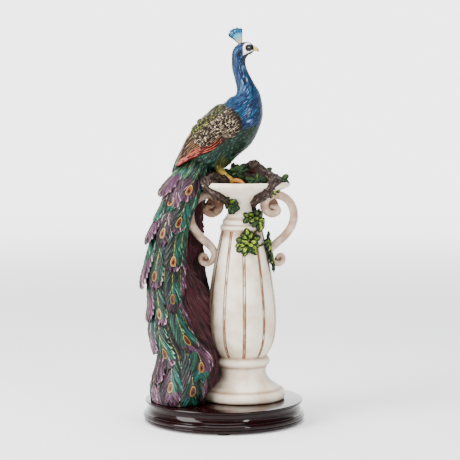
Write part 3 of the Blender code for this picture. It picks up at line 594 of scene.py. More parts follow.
# Painted shade where each small feather tucks under the one above, on the body below the neck
skin = p.mix((over.ease(0.02, 0.20) * -0.75 + 0.75).clamp() * (1.0 - up.ease(100.0, 120.0)), skin, "030907")
# Painted shade down the back of the neck
back_shade = (0.0 - right - (up - 120.0).abs() * 0.02 - 7.4).ease(0.0, 2.6) * up.ease(96.0, 104.0)
skin = p.mix(back_shade * 0.75, skin, "060b22")
# The dark cap, the white face with its black eye ring and bridle, and the dark throat
cap = (up - 137.6 + right * 0.16).ease(-0.8, 0.8) * (right + 6.0).ease(0.0, 2.0)
skin = p.mix(cap * 0.9, skin, "17122e")
nape = (1.0 - (right + 0.3).abs() * 0.6).ease(0.0, 0.6) * up.ease(124.0, 128.0)
skin = p.mix(nape * 0.8, skin, "2c2346")
lower_edge = up - (125.3 + 0.52 * (right - 1.2))
white = (right - 1.0 - (up - 131.0).abs() * 0.04).ease(-0.5, 0.5) * lower_edge.ease(-0.3, 0.6)
white = white * (138.6 - up - ((right - 5.5) * 0.42) * ((right - 5.5) * 0.42)).ease(-0.3, 0.7)
skin = p.mix(white, skin, "f4f1ee")
ring = (right - EYE_RIGHT).hypot(up - EYE_UP)
lore = (right - 8.0).ease(0.0, 0.7) * (up - 130.9).ease(0.0, 0.5) * (136.6 - up).ease(0.0, 0.8)
bridle = (1.0 - (lower_edge + 0.4).abs()).ease(0.0, 0.5) * right.ease(1.0, 2.0) * (up - 124.0).ease(0.0, 1.0)
skin = p.mix(((3.9 - ring).ease(0.0, 0.5)).most(lore).most(bridle), skin, "0b080c")
throat = (0.0 - lower_edge).ease(0.4, 1.2) * (right + 1.2 - (124.0 - up) * 0.05).ease(0.0, 1.6)
skin = p.mix(throat * (up - 112.0).ease(0.0, 6.0) * 0.8, skin, "20302f")
shine = is_blue * (1.0 - white)
coat(plumage, Base_Color=skin, Roughness=0.32 + 0.22 * streak, Metallic=0.15 + 0.45 * shine * streak, Coat_Weight=0.12,
     Coat_Roughness=0.15, Normal=p.bump(streak * (1.0 - white) + tip * 0.4, 0.0009, 0.75))
bird = build("bird", [(bird_grid, True, {
    "spot": spot, "run": triple(girth_mm, along_mm, 0.0),
    "tile": triple(place, place * np.cos(own * 2.4), own)})], plumage)
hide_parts("peacock_and_urn")

# The head's trimmings: a short yellow beak with a grey tip, domed black eyes with a painted highlight at
# the middle of each, and the crest, a fan of bare quills that ends in blue and turquoise tufts.

horn, p = finish("beak")
right = p.lay("spot")[0]
smear = p.grain(p.place(), 700.0, 3.0)
paint = smear.dyed(0.3, 0.7, "c9a93f", "eddc8c")
paint = p.mix((right + smear).ease(15.4, 16.6) * 0.85, paint, "5a6168")
coat(horn, Base_Color=paint, Roughness=0.28 + 0.1 * smear, Normal=p.bump(smear, 0.0003, 0.4))
BEAK = [(10.4, 132.8, 3.3), (12.2, 132.9, 2.9), (14.0, 132.4, 2.2), (15.8, 131.2, 1.3), (17.0, 129.8, 0.4)]
line = flow(BEAK, 8)
beak_grid = hose(at(line[:, 0], line[:, 1]), line[:, 2] * UNIT, 28, 0.8)
beak = build("beak", [(beak_grid, True, {"spot": spots(beak_grid)})], horn)
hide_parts("peacock_and_urn")

glass, p = finish("eye_paint")
off = p.mask("across")
specks = p.grain(p.place(), 500.0, 2.0)
# A painted highlight at the middle of each eye, in a brown ring
paint = off.dyed(0.10, 0.22, "c9c6c2", "2a1712")
paint = p.mix(off.ease(0.28, 0.40), paint, "060507")
coat(glass, Base_Color=p.mix(specks.ease(0.55, 0.8) * 0.2, paint, "171318"), Roughness=0.12 + 0.06 * specks,
     Coat_Weight=0.24)
EYE_RADIUS = 2.3 * UNIT
EYE_DOME = 0.0014
eye_sheets = []
for side in (-1, 1):
    hit = spots(bird_grid) - (EYE_RIGHT, EYE_UP, side * 6.0)
    nearest = np.linalg.norm(hit, axis=2).argmin()
    centre = bird_grid.reshape(-1, 3)[nearest] + (0, side * 0.0001, 0)
    outward = unit(np.array([0.18, side, 0.05]))
    level = unit(np.cross(outward, (0, 0, 1.0)))
    upright = np.cross(level, outward)
    r = np.linspace(0.001, 1, 14)[:, None]
    turn = circle(36)
    dome = (centre + EYE_RADIUS * (r * np.cos(turn))[..., None] * level
            + EYE_RADIUS * (r * np.sin(turn))[..., None] * upright
            + (EYE_DOME * np.sqrt(np.maximum(0, 1 - r ** 2)) + 0 * turn)[..., None] * outward)
    if side < 0:
        dome = dome[:, ::-1]
    eye_sheets.append((dome, True, {"across": r + 0 * turn}))
eyes = build("eyes", eye_sheets, glass)
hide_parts("peacock_and_urn")

tuft, p = finish("crest_tufts")
out, fan = p.lay("fan")[:2]
barbs = p.grain(p.joined(fan * 26.0, out * 3.0, p.lay("fan")[2]), 1.0, 3.0)
paint = barbs.dyed(0.35, 0.65, "93846f", "cfc2ae")
paint = p.mix((out + barbs * 0.2).ease(0.42, 0.62), paint, barbs.dyed(0.35, 0.65, "2f86a0", "86c6d0"))
paint = p.mix((out + barbs * 0.22).ease(0.72, 0.86), paint, barbs.dyed(0.4, 0.62, "12405f", "3b7fa6"))
sideways = p.math("FRACT", fan * 5.0) - 0.5
upward = (out - 0.84) * 3.0
dots = (0.13 - sideways.hypot(upward)).ease(0.0, 0.10) * (0.62 - fan).ease(0.0, 0.1)
paint = p.mix(dots, paint, "cfe3f2")
paint = p.mix((0.10 - fan + barbs * 0.06).ease(0.0, 0.05), paint, "14302c")
coat(tuft, Base_Color=paint, Roughness=0.34 + 0.2 * barbs, Metallic=0.2 * out.ease(0.5, 0.8),
     Normal=p.bump(barbs, 0.0006, 0.8))
crest_sheets = []
share = np.linspace(0, 1, 36)[:, None]
fan = np.linspace(0, 1, 60)[None, :]
TUFTS = 5
tip_angle = np.radians(141.0 - 58.0 * fan)
tip_reach = np.interp(fan, (0, 0.12, 0.35, 0.7, 1), (15.0, 17.4, 19.4, 19.4, 18.0))
reach = share * (tip_reach + 0.35 * np.cos(2 * pi * TUFTS * fan + pi))
right = -1.6 + reach * np.cos(tip_angle) * (0.55 + 0.45 * share) - (1.4 - 4.0 * fan) * (1 - share) * 0.9
up = 135.8 + reach * np.sin(tip_angle) * (1.0 - 0.06 * share)
rib = np.abs(np.cos(pi * TUFTS * fan)) ** 0.6
thick = (0.5 + 1.5 * share ** 1.4 * (1 - share ** 14)) * np.sin(pi * fan) ** 0.35 * (0.75 + 0.35 * (1 - rib))
for face in (-1, 1):
    sheet = at(right, up, face * thick * UNIT)[:, ::-face]
    crest_sheets.append((sheet, False, {"fan": triple(share, fan[:, ::-face], face)}))
crest = build("crest", crest_sheets, tuft)
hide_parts("peacock_and_urn")

# The legs: two scaly shanks from the thighs, with the toes clutching the bark. Cast with the bird and
# painted ochre, warmer on the toes, and dark in the joints of the scales.

scute, p = finish("leg_scales")
length, toe = p.lay("leg")[:2]
smear = p.grain(p.place(), 300.0, 4.0)
rings = p.math("SINE", length * 3.4).abs()
paint = smear.dyed(0.3, 0.7, "a88a34", "dcc676")
paint = p.mix(toe * smear.ease(0.2, 0.6), paint, "c98a55")
paint = p.mix((1.0 - rings.ease(0.0, 0.35)) * 0.6, paint, "5c4420")
paint = p.mix(p.lay("leg")[2] * smear.ease(0.2, 0.5), paint, "33421e")
coat(scute, Base_Color=paint, Roughness=0.36 + 0.2 * smear, Normal=p.bump(rings + smear, 0.0006, 0.8))
LEG_COLUMNS = 24
leg_sheets = []
for side, shift in ((-1, 0.0), (1, -7.0)):
    middle = side * 10.1
    bones = [([(-25.0, 18.0, middle, 6.3), (-22.0, 12.0, middle, 3.9), (-17.0, 6.8, middle, 2.7),
               (-11.5, 2.2, middle, 2.8), (-9.5, -0.6, middle, 2.4)], 0.0)]
    for spread in (-5.0, 0.5, 6.0):
        bones.append(([(-10.5, 0.8, middle, 2.1), (-6.0, 1.6, middle + side * spread * 0.4, 1.9),
                       (-2.4, 1.2, middle + side * spread * 0.7, 1.8), (1.2, -1.2, middle + side * spread, 1.2),
                       (2.4, -3.0, middle + side * spread, 0.4)], 1.0))
    for rows, is_toe in bones:
        limb = rod(rows, LEG_COLUMNS, shift)
        length = travelled(limb.mean(1))[:, None] * 1000 + np.zeros(LEG_COLUMNS)
        limb = swell(limb, -0.0003 * np.abs(np.sin(length * 1.7)))
        thigh = np.clip(1.5 - length / 10, 0, 1) * (1 - is_toe)
        leg_sheets.append((limb, True, {"leg": triple(length, is_toe, thigh)}))
legs = build("legs", leg_sheets, scute)
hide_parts("peacock_and_urn")

# The wings: each a smooth cushion cast with the body and covered with modelled feathers. Cream scallops
# over brown at the shoulder, olive at the back, tan-streaked brown behind, and copper quills below.

# Units right and over the rim, and half the wing's width there
WING = [
    (-0.5, 55.0, 2.0), (-3.5, 56.5, 9.0), (-10.0, 58.0, 14.0), (-20.0, 54.0, 18.5), (-33.0, 44.5, 18.5),
    (-45.0, 33.5, 14.5), (-55.5, 24.0, 9.5), (-65.5, 14.8, 2.0),
]


def flank(right, up):
    """How far the bird's body reaches sideways at these places of the side view, in units."""
    best, breadth = 9.0, 0.0
    for low, high in zip(BODY[6:], BODY[7:]):
        run = (high[0] - low[0], high[1] - low[1])
        along = np.clip(((right - low[0]) * run[0] + (up - low[1]) * run[1]) / (run[0] ** 2 + run[1] ** 2), 0, 1)
        away = np.hypot(right - low[0] - run[0] * along, up - low[1] - run[1] * along)
        away = away / (low[2] + (high[2] - low[2]) * along)
        nearer = away < best
        best = np.where(nearer, away, best)
        breadth = np.where(nearer, low[3] + (high[3] - low[3]) * along, breadth)
    return breadth * np.sqrt(np.maximum(0, 1 - best ** 2))


def bulge(broad, outward):
    """How far the wing's cushion reaches sideways over a body this broad. outward is -1 inside and 1 outside."""
    return broad * 0.55 + (broad * 0.55 + 1.4) * outward


cushion = flow(WING, 14)
wing_centre = cushion[:, :2]
wing_ahead = unit(np.gradient(wing_centre, axis=0))
wing_across = np.stack([-wing_ahead[:, 1], wing_ahead[:, 0]], 1)
wing_broad = np.maximum(np.array([flank(*row) for row in wing_centre]), 6.0)
turn = circle(72)
wing_grids = {}
for side in (-1, 1):
    flat = wing_centre[:, None] + wing_across[:, None] * (cushion[:, 2:3] * np.cos(turn))[..., None] * side
    wing_grids[side] = at(flat[:, :, 0], flat[:, :, 1], side * bulge(wing_broad[:, None], np.sin(turn)) * UNIT)


def wing_top(right, up):
    """How far the wing, or the body beyond it, reaches sideways at these places, in units."""
    best = flank(right, up)
    for low, high, across, broad in zip(wing_centre, wing_centre[1:], cushion[:, 2], wing_broad):
        run = high - low
        along = ((right - low[0]) * run[0] + (up - low[1]) * run[1]) / run.dot(run)
        away = np.abs((right - low[0]) * run[1] - (up - low[1]) * run[0]) / sqrt(run.dot(run)) / across
        here = (along >= -0.6) & (along <= 1.6) & (away < 1)
        best = np.where(here, np.maximum(best, bulge(broad, np.sqrt(np.maximum(0, 1 - away ** 2)))), best)
    return best


def laid(path, half, side, lift, tone, kind, arch=0.8, tip=0.30, columns=9, rows=13):
    """A feather along a path of the side view, its tip standing off the wing by lift units."""
    line = flow(path, 10)
    length = travelled(line)
    s = np.linspace(0, 1, rows)
    line = np.stack([np.interp(s * length[-1], length, column) for column in line.T], 1)
    ahead = unit(np.gradient(line, axis=0))
    across = np.stack([ahead[:, 1], -ahead[:, 0]], 1)
    rounded = np.clip(1 - np.clip((s - 1 + tip) / tip, 0, 1) ** 2, 0.0004, 1)
    width = half * np.clip(s / 0.25, 0.3, 1) ** 0.5 * np.sqrt(rounded)
    u = np.linspace(-1, 1, columns)[None, :]
    spot = line[:, None] + across[:, None] * (width[:, None] * u)[..., None]
    y = wing_top(spot[:, :, 0], spot[:, :, 1]) + lift * (s[:, None] * 1.2 - 0.2)
    y = y + arch * (1 - u ** 2) - 1.4 * np.abs(u) ** 6
    grid = at(spot[:, :, 0], spot[:, :, 1], side * y * UNIT)
    lay = triple(u * width[:, None] * UNIT * 1000, s[:, None] * length[-1] * UNIT * 1000, u)
    dye = triple(s[:, None] + 0 * u, tone, kind)
    if side > 0:
        grid, lay, dye = grid[:, ::-1], lay[:, ::-1], dye[:, ::-1]
    return grid, False, {"lay": lay, "dye": dye}


SHOULDER = np.array([-1.5, 57.0])
REAR = np.array([-0.832, -0.555])
RAISED = np.array([-0.555, 0.832])


def on_wing(back, rise):
    """Place in the side view, units back along the wing from its shoulder and up across it."""
    return tuple(SHOULDER + REAR * back + RAISED * rise)


COVERT_ROWS, COVERT_PITCH, COVERT_WIDTH, COVERT_LENGTH = 14, 3.2, 3.3, 5.8
LAST_COVERT = 40.4
chance = np.random.default_rng(7)
covert_sheets, streaked_sheets, copper_sheets = [], [], []
for side in (-1, 1):
    flat = np.ones_like(wing_grids[side])
    covert_sheets.append((wing_grids[side], True, {"lay": flat * (5.0, 0.0, 0.0), "dye": flat * 0.5}))
    for row in range(COVERT_ROWS):
        back = LAST_COVERT - row * COVERT_PITCH
        low = np.interp(back, (-2, 2, 7, 12, 22, 34), (3.0, -2.0, -4.5, -3.0, 5.0, 2.0))
        high = np.interp(back, (-2, 5, 30, 45), (18.0, 27.0, 27.0, 23.0))
        count = int((high - low) / COVERT_WIDTH) + 1
        for k in range(count):
            rise = low + (high - low) * (k + 0.5 * (row % 2)) / count + chance.uniform(-1.0, 1.0)
            length = COVERT_LENGTH * chance.uniform(0.8, 1.3)
            bend = 0.10 * (rise - 8.0) * length / 10 + chance.uniform(-1.5, 1.5)
            path = [on_wing(back - 2.0, rise), on_wing(back + length * 0.5, rise - bend * 0.4),
                    on_wing(back + length, rise - bend)]
            olive = float(np.clip((rise - np.interp(back, (0, 20, 50), (19.5, 18.5, 13.5))) / 2.0, 0, 1))
            half = chance.uniform(1.7, 2.5)
            covert_sheets.append(laid(path, half, side, 2.2, chance.uniform(0, 1), olive, 0.9, 0.55))
    for row in range(10):
        rise = 4.2 + row * 1.7
        start = 38.0 + 0.3 * row - 0.5 * (row % 2) * 6
        stop = np.interp(row, (0, 3, 7, 9), (75.0, 71.0, 63.0, 56.0))
        path = [on_wing(start, rise), on_wing((start + stop) / 2, rise - 0.4),
                on_wing(stop, 2.4 + (rise - 2.4) * np.interp(stop, (50, 76), (0.92, 0.35)))]
        streaked_sheets.append(laid(path, 1.7, side, 2.2, chance.uniform(0, 1), 0.0, 0.7, 0.2, 7, 30))
    for row, (begin, drop) in enumerate(((20.0, 7.0), (21.0, 4.4), (22.0, 1.9), (23.0, -0.6), (24.5, -3.1))):
        path = [on_wing(begin, drop), on_wing(34.0, drop * 0.86 - 2.2), on_wing(50.0, drop * 0.62 + 0.4),
                on_wing(64.0, drop * 0.40 + 1.6), on_wing(76.5 - row * 0.5, 1.6 + drop * 0.12)]
        copper_sheets.append(laid(path, 1.5, side, 2.4 + 0.3 * row, chance.uniform(0, 1), 1.0, 0.9, 0.12, 9, 60))
    path = [on_wing(7.0, -5.2), on_wing(14.0, -2.2), on_wing(21.0, 0.8)]
    copper_sheets.append(laid(path, 3.0, side, 2.6, 0.4, 0.0, 0.8, 0.4, 11, 20))

scallop, p = finish("wing_coverts")
off, u = p.lay("lay")[0], p.lay("lay")[2].abs()
s, tone, olive = p.lay("dye")
smear = p.grain(p.place(), 330.0, 4.0, 0.65)
cream = smear.dyed(0.35, 0.65, "8c765c", "eadcc4")
cream = p.mix(olive, cream, smear.dyed(0.3, 0.65, "485024", "949e5c"))
dark = smear.dyed(0.4, 0.7, "140e0a", "56422e")
rim = (u + smear * 0.45).ease(0.88, 1.0).most((s + smear * 0.25).ease(0.96, 1.04)) * (s.ease(0.22, 0.40))
quill = (0.34 - off.abs() + smear * 0.3).ease(0.14, 0.30) * s.ease(0.3, 0.5) * (tone - 0.55).ease(0.0, 0.2)
paint = p.mix((rim.most(quill) * (smear * 1.5 + 0.15).clamp()).clamp(), dark, cream)
paint = p.mix((0.62 - olive - tone + smear * 0.2).ease(0.0, 0.1) * 0.35, paint, "191009")
coat(scallop, Base_Color=paint, Roughness=0.38 + 0.2 * smear, Normal=p.bump(rim.most(quill) + smear * 0.5, 0.0008, 0.9))
coverts = build("wing_coverts", covert_sheets, scallop)

tawny, p = finish("wing_secondaries")
off, along, u = p.lay("lay")
_, tone, _ = p.lay("dye")
hair = p.grain(p.joined(off * 1.6, along * 0.16, tone * 40.0), 1.0, 3.0)
paint = hair.dyed(0.38, 0.64, "120b07", "3e2a1b")
paint = p.mix((0.17 - (u - 0.36).abs() + (hair - 0.5) * 0.5).ease(0.0, 0.10) * 0.8, paint, "b08c60")
paint = p.mix((0.34 - (u + 0.25).abs()).ease(0.0, 0.12), paint, "120a07")
paint = p.mix(hair.ease(0.62, 0.70) * 0.4, paint, "a07c54")
coat(tawny, Base_Color=paint, Roughness=0.36 + 0.2 * hair, Normal=p.bump(hair, 0.0009, 0.9))
secondaries = build("wing_secondaries", streaked_sheets, tawny)

copper, p = finish("wing_copper")
off, along, u = p.lay("lay")
_, tone, is_quill = p.lay("dye")
hair = p.grain(p.joined(off * 1.6, along * 0.16, tone * 40.0), 1.0, 4.0)
paint = hair.dyed(0.36, 0.64, "4a130c", "96392a")
# Painted highlight down the middle of each copper quill
paint = p.mix((hair.ease(0.44, 0.62) * (0.26 - (u - 0.05).abs()).ease(0.0, 0.18)).clamp() * 0.9, paint, "e69a84")
# Painted shade at each quill's edges, where it meets its neighbours
edge_shade = (0.38 - (u - 0.66).abs()).ease(0.0, 0.14).most((0.24 - (u + 0.68).abs()).ease(0.0, 0.12))
paint = p.mix(edge_shade, paint, "1e0805")
grey = hair.dyed(0.35, 0.65, "463830", "86756a")
paint = p.mix(is_quill, grey, paint)
coat(copper, Base_Color=paint, Roughness=0.30 + 0.2 * hair, Metallic=0.35 * is_quill, Coat_Weight=0.12,
     Normal=p.bump(hair - u.abs() * 0.5, 0.0009, 0.8))
primaries = build("wing_quills", copper_sheets, copper)
for piece in (coverts, secondaries, primaries):
    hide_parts("peacock_and_urn")

# The train: a cloak of long feathers modelled one over another, from the bird's rump down past the
# left handle to the plinth, cast in one with the urn. Green and mauve paint, lime quills, gold eyes.

# Height over the plinth, left end, front edge, inmost of the hollow, back edge, reach in front and behind
TRAIN = [
    (0.0004, -0.084, -0.026, 0.006, -0.024, 0.060, 0.056), (0.012, -0.087, -0.020, 0.004, -0.018, 0.062, 0.058),
    (0.029, -0.084, -0.016, 0.002, -0.010, 0.058, 0.054), (0.056, -0.081, -0.017, 0.001, -0.006, 0.054, 0.050),
    (0.082, -0.088, -0.033, 0.000, -0.009, 0.050, 0.046), (0.112, -0.088, -0.045, -0.008, -0.014, 0.045, 0.042),
    (0.142, -0.093, -0.045, -0.030, -0.020, 0.041, 0.039), (0.171, -0.090, -0.044, -0.048, -0.023, 0.039, 0.037),
    (0.202, -0.084, -0.042, -0.050, -0.025, 0.038, 0.036), (0.233, -0.074, -0.032, -0.046, -0.024, 0.038, 0.034),
    (0.256, -0.068, -0.026, -0.030, -0.024, 0.040, 0.034), (0.273, -0.058, -0.022, -0.014, -0.022, 0.035, 0.030),
    (0.290, -0.047, -0.018, -0.010, -0.018, 0.019, 0.018),
]
folds = flow(TRAIN, 12)
FEATHER_STEP = 0.0011
FEATHER_COLUMNS = 41
NO_EYE = -900


def cloak(height, share, out=0.0):
    """Point on the train: height over the plinth; share 0 at its front edge, 0.5 left, 1 at its back edge."""
    left, front_edge, back_edge, front, back = [np.interp(height, folds[:, 0], folds[:, k]) for k in (1, 2, 4, 5, 6)]
    angle = np.radians(-50 + 280 * share)
    ahead = angle < pi / 2
    half = (np.where(ahead, front_edge, back_edge) - left) / (1 + sin(radians(50)))
    away_x, away_y = -np.sin(angle), -np.cos(angle)
    return triple(left + half + (half + out) * away_x, (np.where(ahead, front, back) + out) * away_y,
                  PLINTH_TOP + height)


def around(height):
    """Metres round the train's outside at this height."""
    return np.interp(height, (0.02, 0.10, 0.20, 0.27), (0.231, 0.193, 0.158, 0.129))


def plume(trail, half, hues, beyond=None, lift=4.6, foot=-0.8, tone=0.5):
    """A long feather down a trail of (height, share), ending this far beyond the middle of its eye, or with no eye.

    hues are how mauve it is at its left, right and tip, how pale its quill is, and how deep the painted shade on its
    left is."""
    line = flow(trail, 16)
    step = np.hypot(np.diff(line[:, 0]), np.diff(line[:, 1]) * around(line[1:, 0]))
    length = np.cumsum(np.r_[0, step])
    if beyond is not None:
        extra = line[-1] + (line[-1] - line[-6]) / (length[-1] - length[-6]) * beyond
        line = np.vstack([line, extra])
        length = np.r_[length, length[-1] + beyond]
    whole = length[-1]
    s = np.linspace(0, 1, int(whole / FEATHER_STEP))[:, None]
    u = np.linspace(-1, 1, FEATHER_COLUMNS)[None, :]
    # The tip is parted into pointed lobes
    parted = s * (1 - (0.05 + 0.05 * tone) * np.abs(np.sin(u * 4.4 + tone * 5)) ** 1.5 * s ** 5)
    where = [np.interp(parted * whole, length, column) for column in line.T]
    girth = around(where[0])
    ahead = np.array([np.gradient(where[0], axis=0), np.gradient(where[1], axis=0) * girth])
    ahead /= np.maximum(np.hypot(*ahead), 1e-9)
    along = (parted * whole - (whole - (beyond or 0.0))) * 1000
    end = np.clip((s * whole - whole + 0.020) / 0.020, 0, 1)
    side = np.where(u > 0, 1.0, -1.0)
    spacing = 6.0 + 2.0 * tone
    count = (along - 1.5 * half * 1000) / spacing + 0.43 * side + tone * 7
    tooth = (count % 1 - 0.5) * np.abs(u) ** 4 * side * np.clip(s * 3, 0, 1)
    width = half * 1.12 * np.clip(s / 0.5, 0.25, 1) ** 0.6 * np.sqrt(np.clip(1 - end ** 2.6, 0.01, 1))
    off = (u + 0.24 * tooth) * width
    height = where[0] - off * ahead[1]
    share = where[1] + off * ahead[0] / girth
    off_mm = off * 1000
    # Each vane is parted into tufts, the upper ones lying over the next
    tuft = (along - 1.5 * np.abs(off_mm)) / spacing + 0.43 * side + tone * 7 + 0.12 * np.sin(off_mm * 0.9 + tone * 20)
    part = tuft % 1
    own = np.sin((np.floor(tuft) + 17 * side + tone * 91) * 12.9898) * 43758.5453 % 1
    tufted = part ** 0.8 * (1 - part ** 7) * np.clip(np.abs(off_mm) / 3.0, 0, 1)
    strands = np.sin((along - 2.2 * np.abs(off_mm)) * 2.1 + 2.4 * np.sin(along * 0.21 + tone * 30 + u * 2))
    ridge = np.exp(-(off_mm / 0.6) ** 2)
    eye = np.clip(1.15 - np.hypot(off_mm / 4.1, np.where(along > 0, along / 4.6, along / 8.2)), 0, 1)
    if beyond is None:
        eye = 0 * eye
    clear = (eye < 0.1) * np.clip(s * 3, 0, 1)
    crown = 2.9 * np.sqrt(1 - (u * 0.7) ** 2) - 2.9
    out = (foot + lift * s ** 1.2 + crown + 1.5 * (tufted - 0.4) * (0.6 + 0.8 * own) * clear + 0.18 * strands * clear
           + 0.55 * ridge * (eye < 0.1) + 1.1 * np.minimum(eye, 0.35) - 1.6 * np.abs(u) ** 9 - 3.0 * end ** 10) / 1000
    grid = cloak(np.maximum(height, 0.0006), share, out)
    left, right, tip, quill, shade_depth = hues
    hue = (left + (right - left) * np.clip(u * 3 + 0.5, 0, 1)) * np.clip((s - 0.22) / 0.25, 0, 1)
    if beyond is not None:
        hue = hue + (tip - hue) * np.clip((along - 2.5) / 3.5, 0, 1)
    # A shade depth of more than 1.35 paints shade over both sides of the feather, a smaller one only over its left
    shadow = shade_depth * np.clip(0.5 - u * 1.4 + 3 * (shade_depth > 1.35), 0, 1) * np.clip(1 - (along - 2) / 5, 0, 1)
    masks = {"lay": triple(off_mm, along + (NO_EYE if beyond is None else 0), u), "dye": triple(hue, quill, tone),
             "shade_depth": shadow, "from_root": s + 0 * off,
             "tuft": triple(part, own, np.clip(np.abs(off_mm) / 2.5, 0, 1))}
    return grid[:, ::-1], False, {name: values[:, ::-1] for name, values in masks.items()}


level = np.linspace(0.0, TRAIN[-1][0], 150)[:, None]
share = np.linspace(0, 1, 120)[None, :]
outer = cloak(level, share, -0.0012)
hollow_x = np.interp(level[:, 0], folds[:, 0], folds[:, 3])
ends = [outer[:, -1:], outer[:, -1:] + np.array([-0.002, -0.007, 0])]
pit = [triple(hollow_x, side * 0.008, PLINTH_TOP + level[:, 0])[:, None] for side in (1, -1)]
starts = [outer[:, :1] + np.array([-0.002, 0.007, 0]), outer[:, :1]]
corners = np.concatenate(ends + pit + starts, 1)
reach = np.cumsum(np.r_[0, 3, 18, 10, 18, 3]) / 52
LINING_COLUMNS = 60
evenly = np.linspace(0, 1, LINING_COLUMNS)[1:-1]
lining = np.stack([[np.interp(evenly, reach, row[:, k]) for k in range(3)] for row in corners]).transpose(0, 2, 1)
cape = np.concatenate([outer, lining], 1)
inside = np.concatenate([np.clip((share - 0.95) / 0.02, 0, 1) + 0 * level, np.ones(lining.shape[:2])], 1)
strand_run = np.arange(cape.shape[1]) * 1.5 + 6 * np.sin(level * 34)
relief = 0.0014 * np.sin(strand_run * 0.9 + 2 * np.sin(level * 90)) + 0.0005 * np.sin(strand_run * 2.3)
cape = swell(cape, relief * inside)
cape_masks = {"run": triple(strand_run, level * 1000, 0.0), "inside": inside}

shadowed, p = finish("train_underlayer")
round_it, down_it, _ = p.lay("run")
strand = p.grain(p.joined(round_it * 0.8, down_it * 0.07, 0.0), 1.0, 4.0)
cloud = p.grain(p.place(), 45.0, 3.0)
paint = strand.dyed(0.35, 0.65, "2a161a", "5f3a3f")
paint = p.mix(cloud.ease(0.45, 0.65) * 0.6, paint, "5c2c36")
paint = p.mix((strand.ease(0.58, 0.70) * 0.5).clamp(), paint, "8f6c74")
# Painted shade: the outside of the underlayer, seen only in the gaps between the feathers, is near black
gap_shade_paint = strand.dyed(0.35, 0.65, "07110e", "22302b")
paint = p.mix(p.mask("inside"), gap_shade_paint, paint)
coat(shadowed, Base_Color=paint, Roughness=0.42 + 0.2 * strand, Normal=p.bump(strand, 0.0010, 0.9))
cape_sheets = [(cape[::-1], True, {name: values[::-1] for name, values in cape_masks.items()})]
cape_piece = build("train_underlayer", cape_sheets, shadowed)
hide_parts("peacock_and_urn")

# Three places down the train to the eye (millimetres over the plinth, percent of the way round), millimetres
# beyond it, half width in millimetres, then the five hues that plume() takes, in percent
EYED = [
    (289, 10, 275, 12, 252, 14.5, 13, 14, 75, 95, 75, 10, 20),
    (288, 24, 268, 26, 239, 29.5, 12, 13, 100, 85, 10, 35, 80),
    (264, 13.5, 240, 14.5, 214, 15, 13, 14, 0, 5, 85, 60, 100),
    (254, 27.5, 228, 28, 201, 27.5, 16, 13, 65, 95, 100, 100, 10),
    (226, 13.5, 198, 14, 168, 14.5, 13, 15, 0, 20, 100, 15, 100),
    (206, 28, 180, 29, 150, 30, 17, 13, 0, 30, 100, 10, 70),
    (182, 14.5, 155, 14, 124, 14, 17, 14, 10, 0, 100, 25, 50),
    (160, 28.5, 135, 28.5, 106, 28, 15, 13, 0, 35, 90, 10, 10),
    (142, 13.5, 112, 12.5, 76, 11, 15, 17, 0, 25, 100, 35, 20),
    (118, 29, 90, 31, 59, 31.5, 20, 14, 5, 10, 100, 60, 40), (112, 7, 80, 8, 44, 8.5, 18, 16, 20, 95, 0, 90, 0),
    (74, 30.5, 50, 28, 21, 26, 24, 16, 85, 0, 100, 35, 10), (80, 17.5, 50, 15, 17, 12, 22, 17, 45, 45, 0, 60, 70),
]
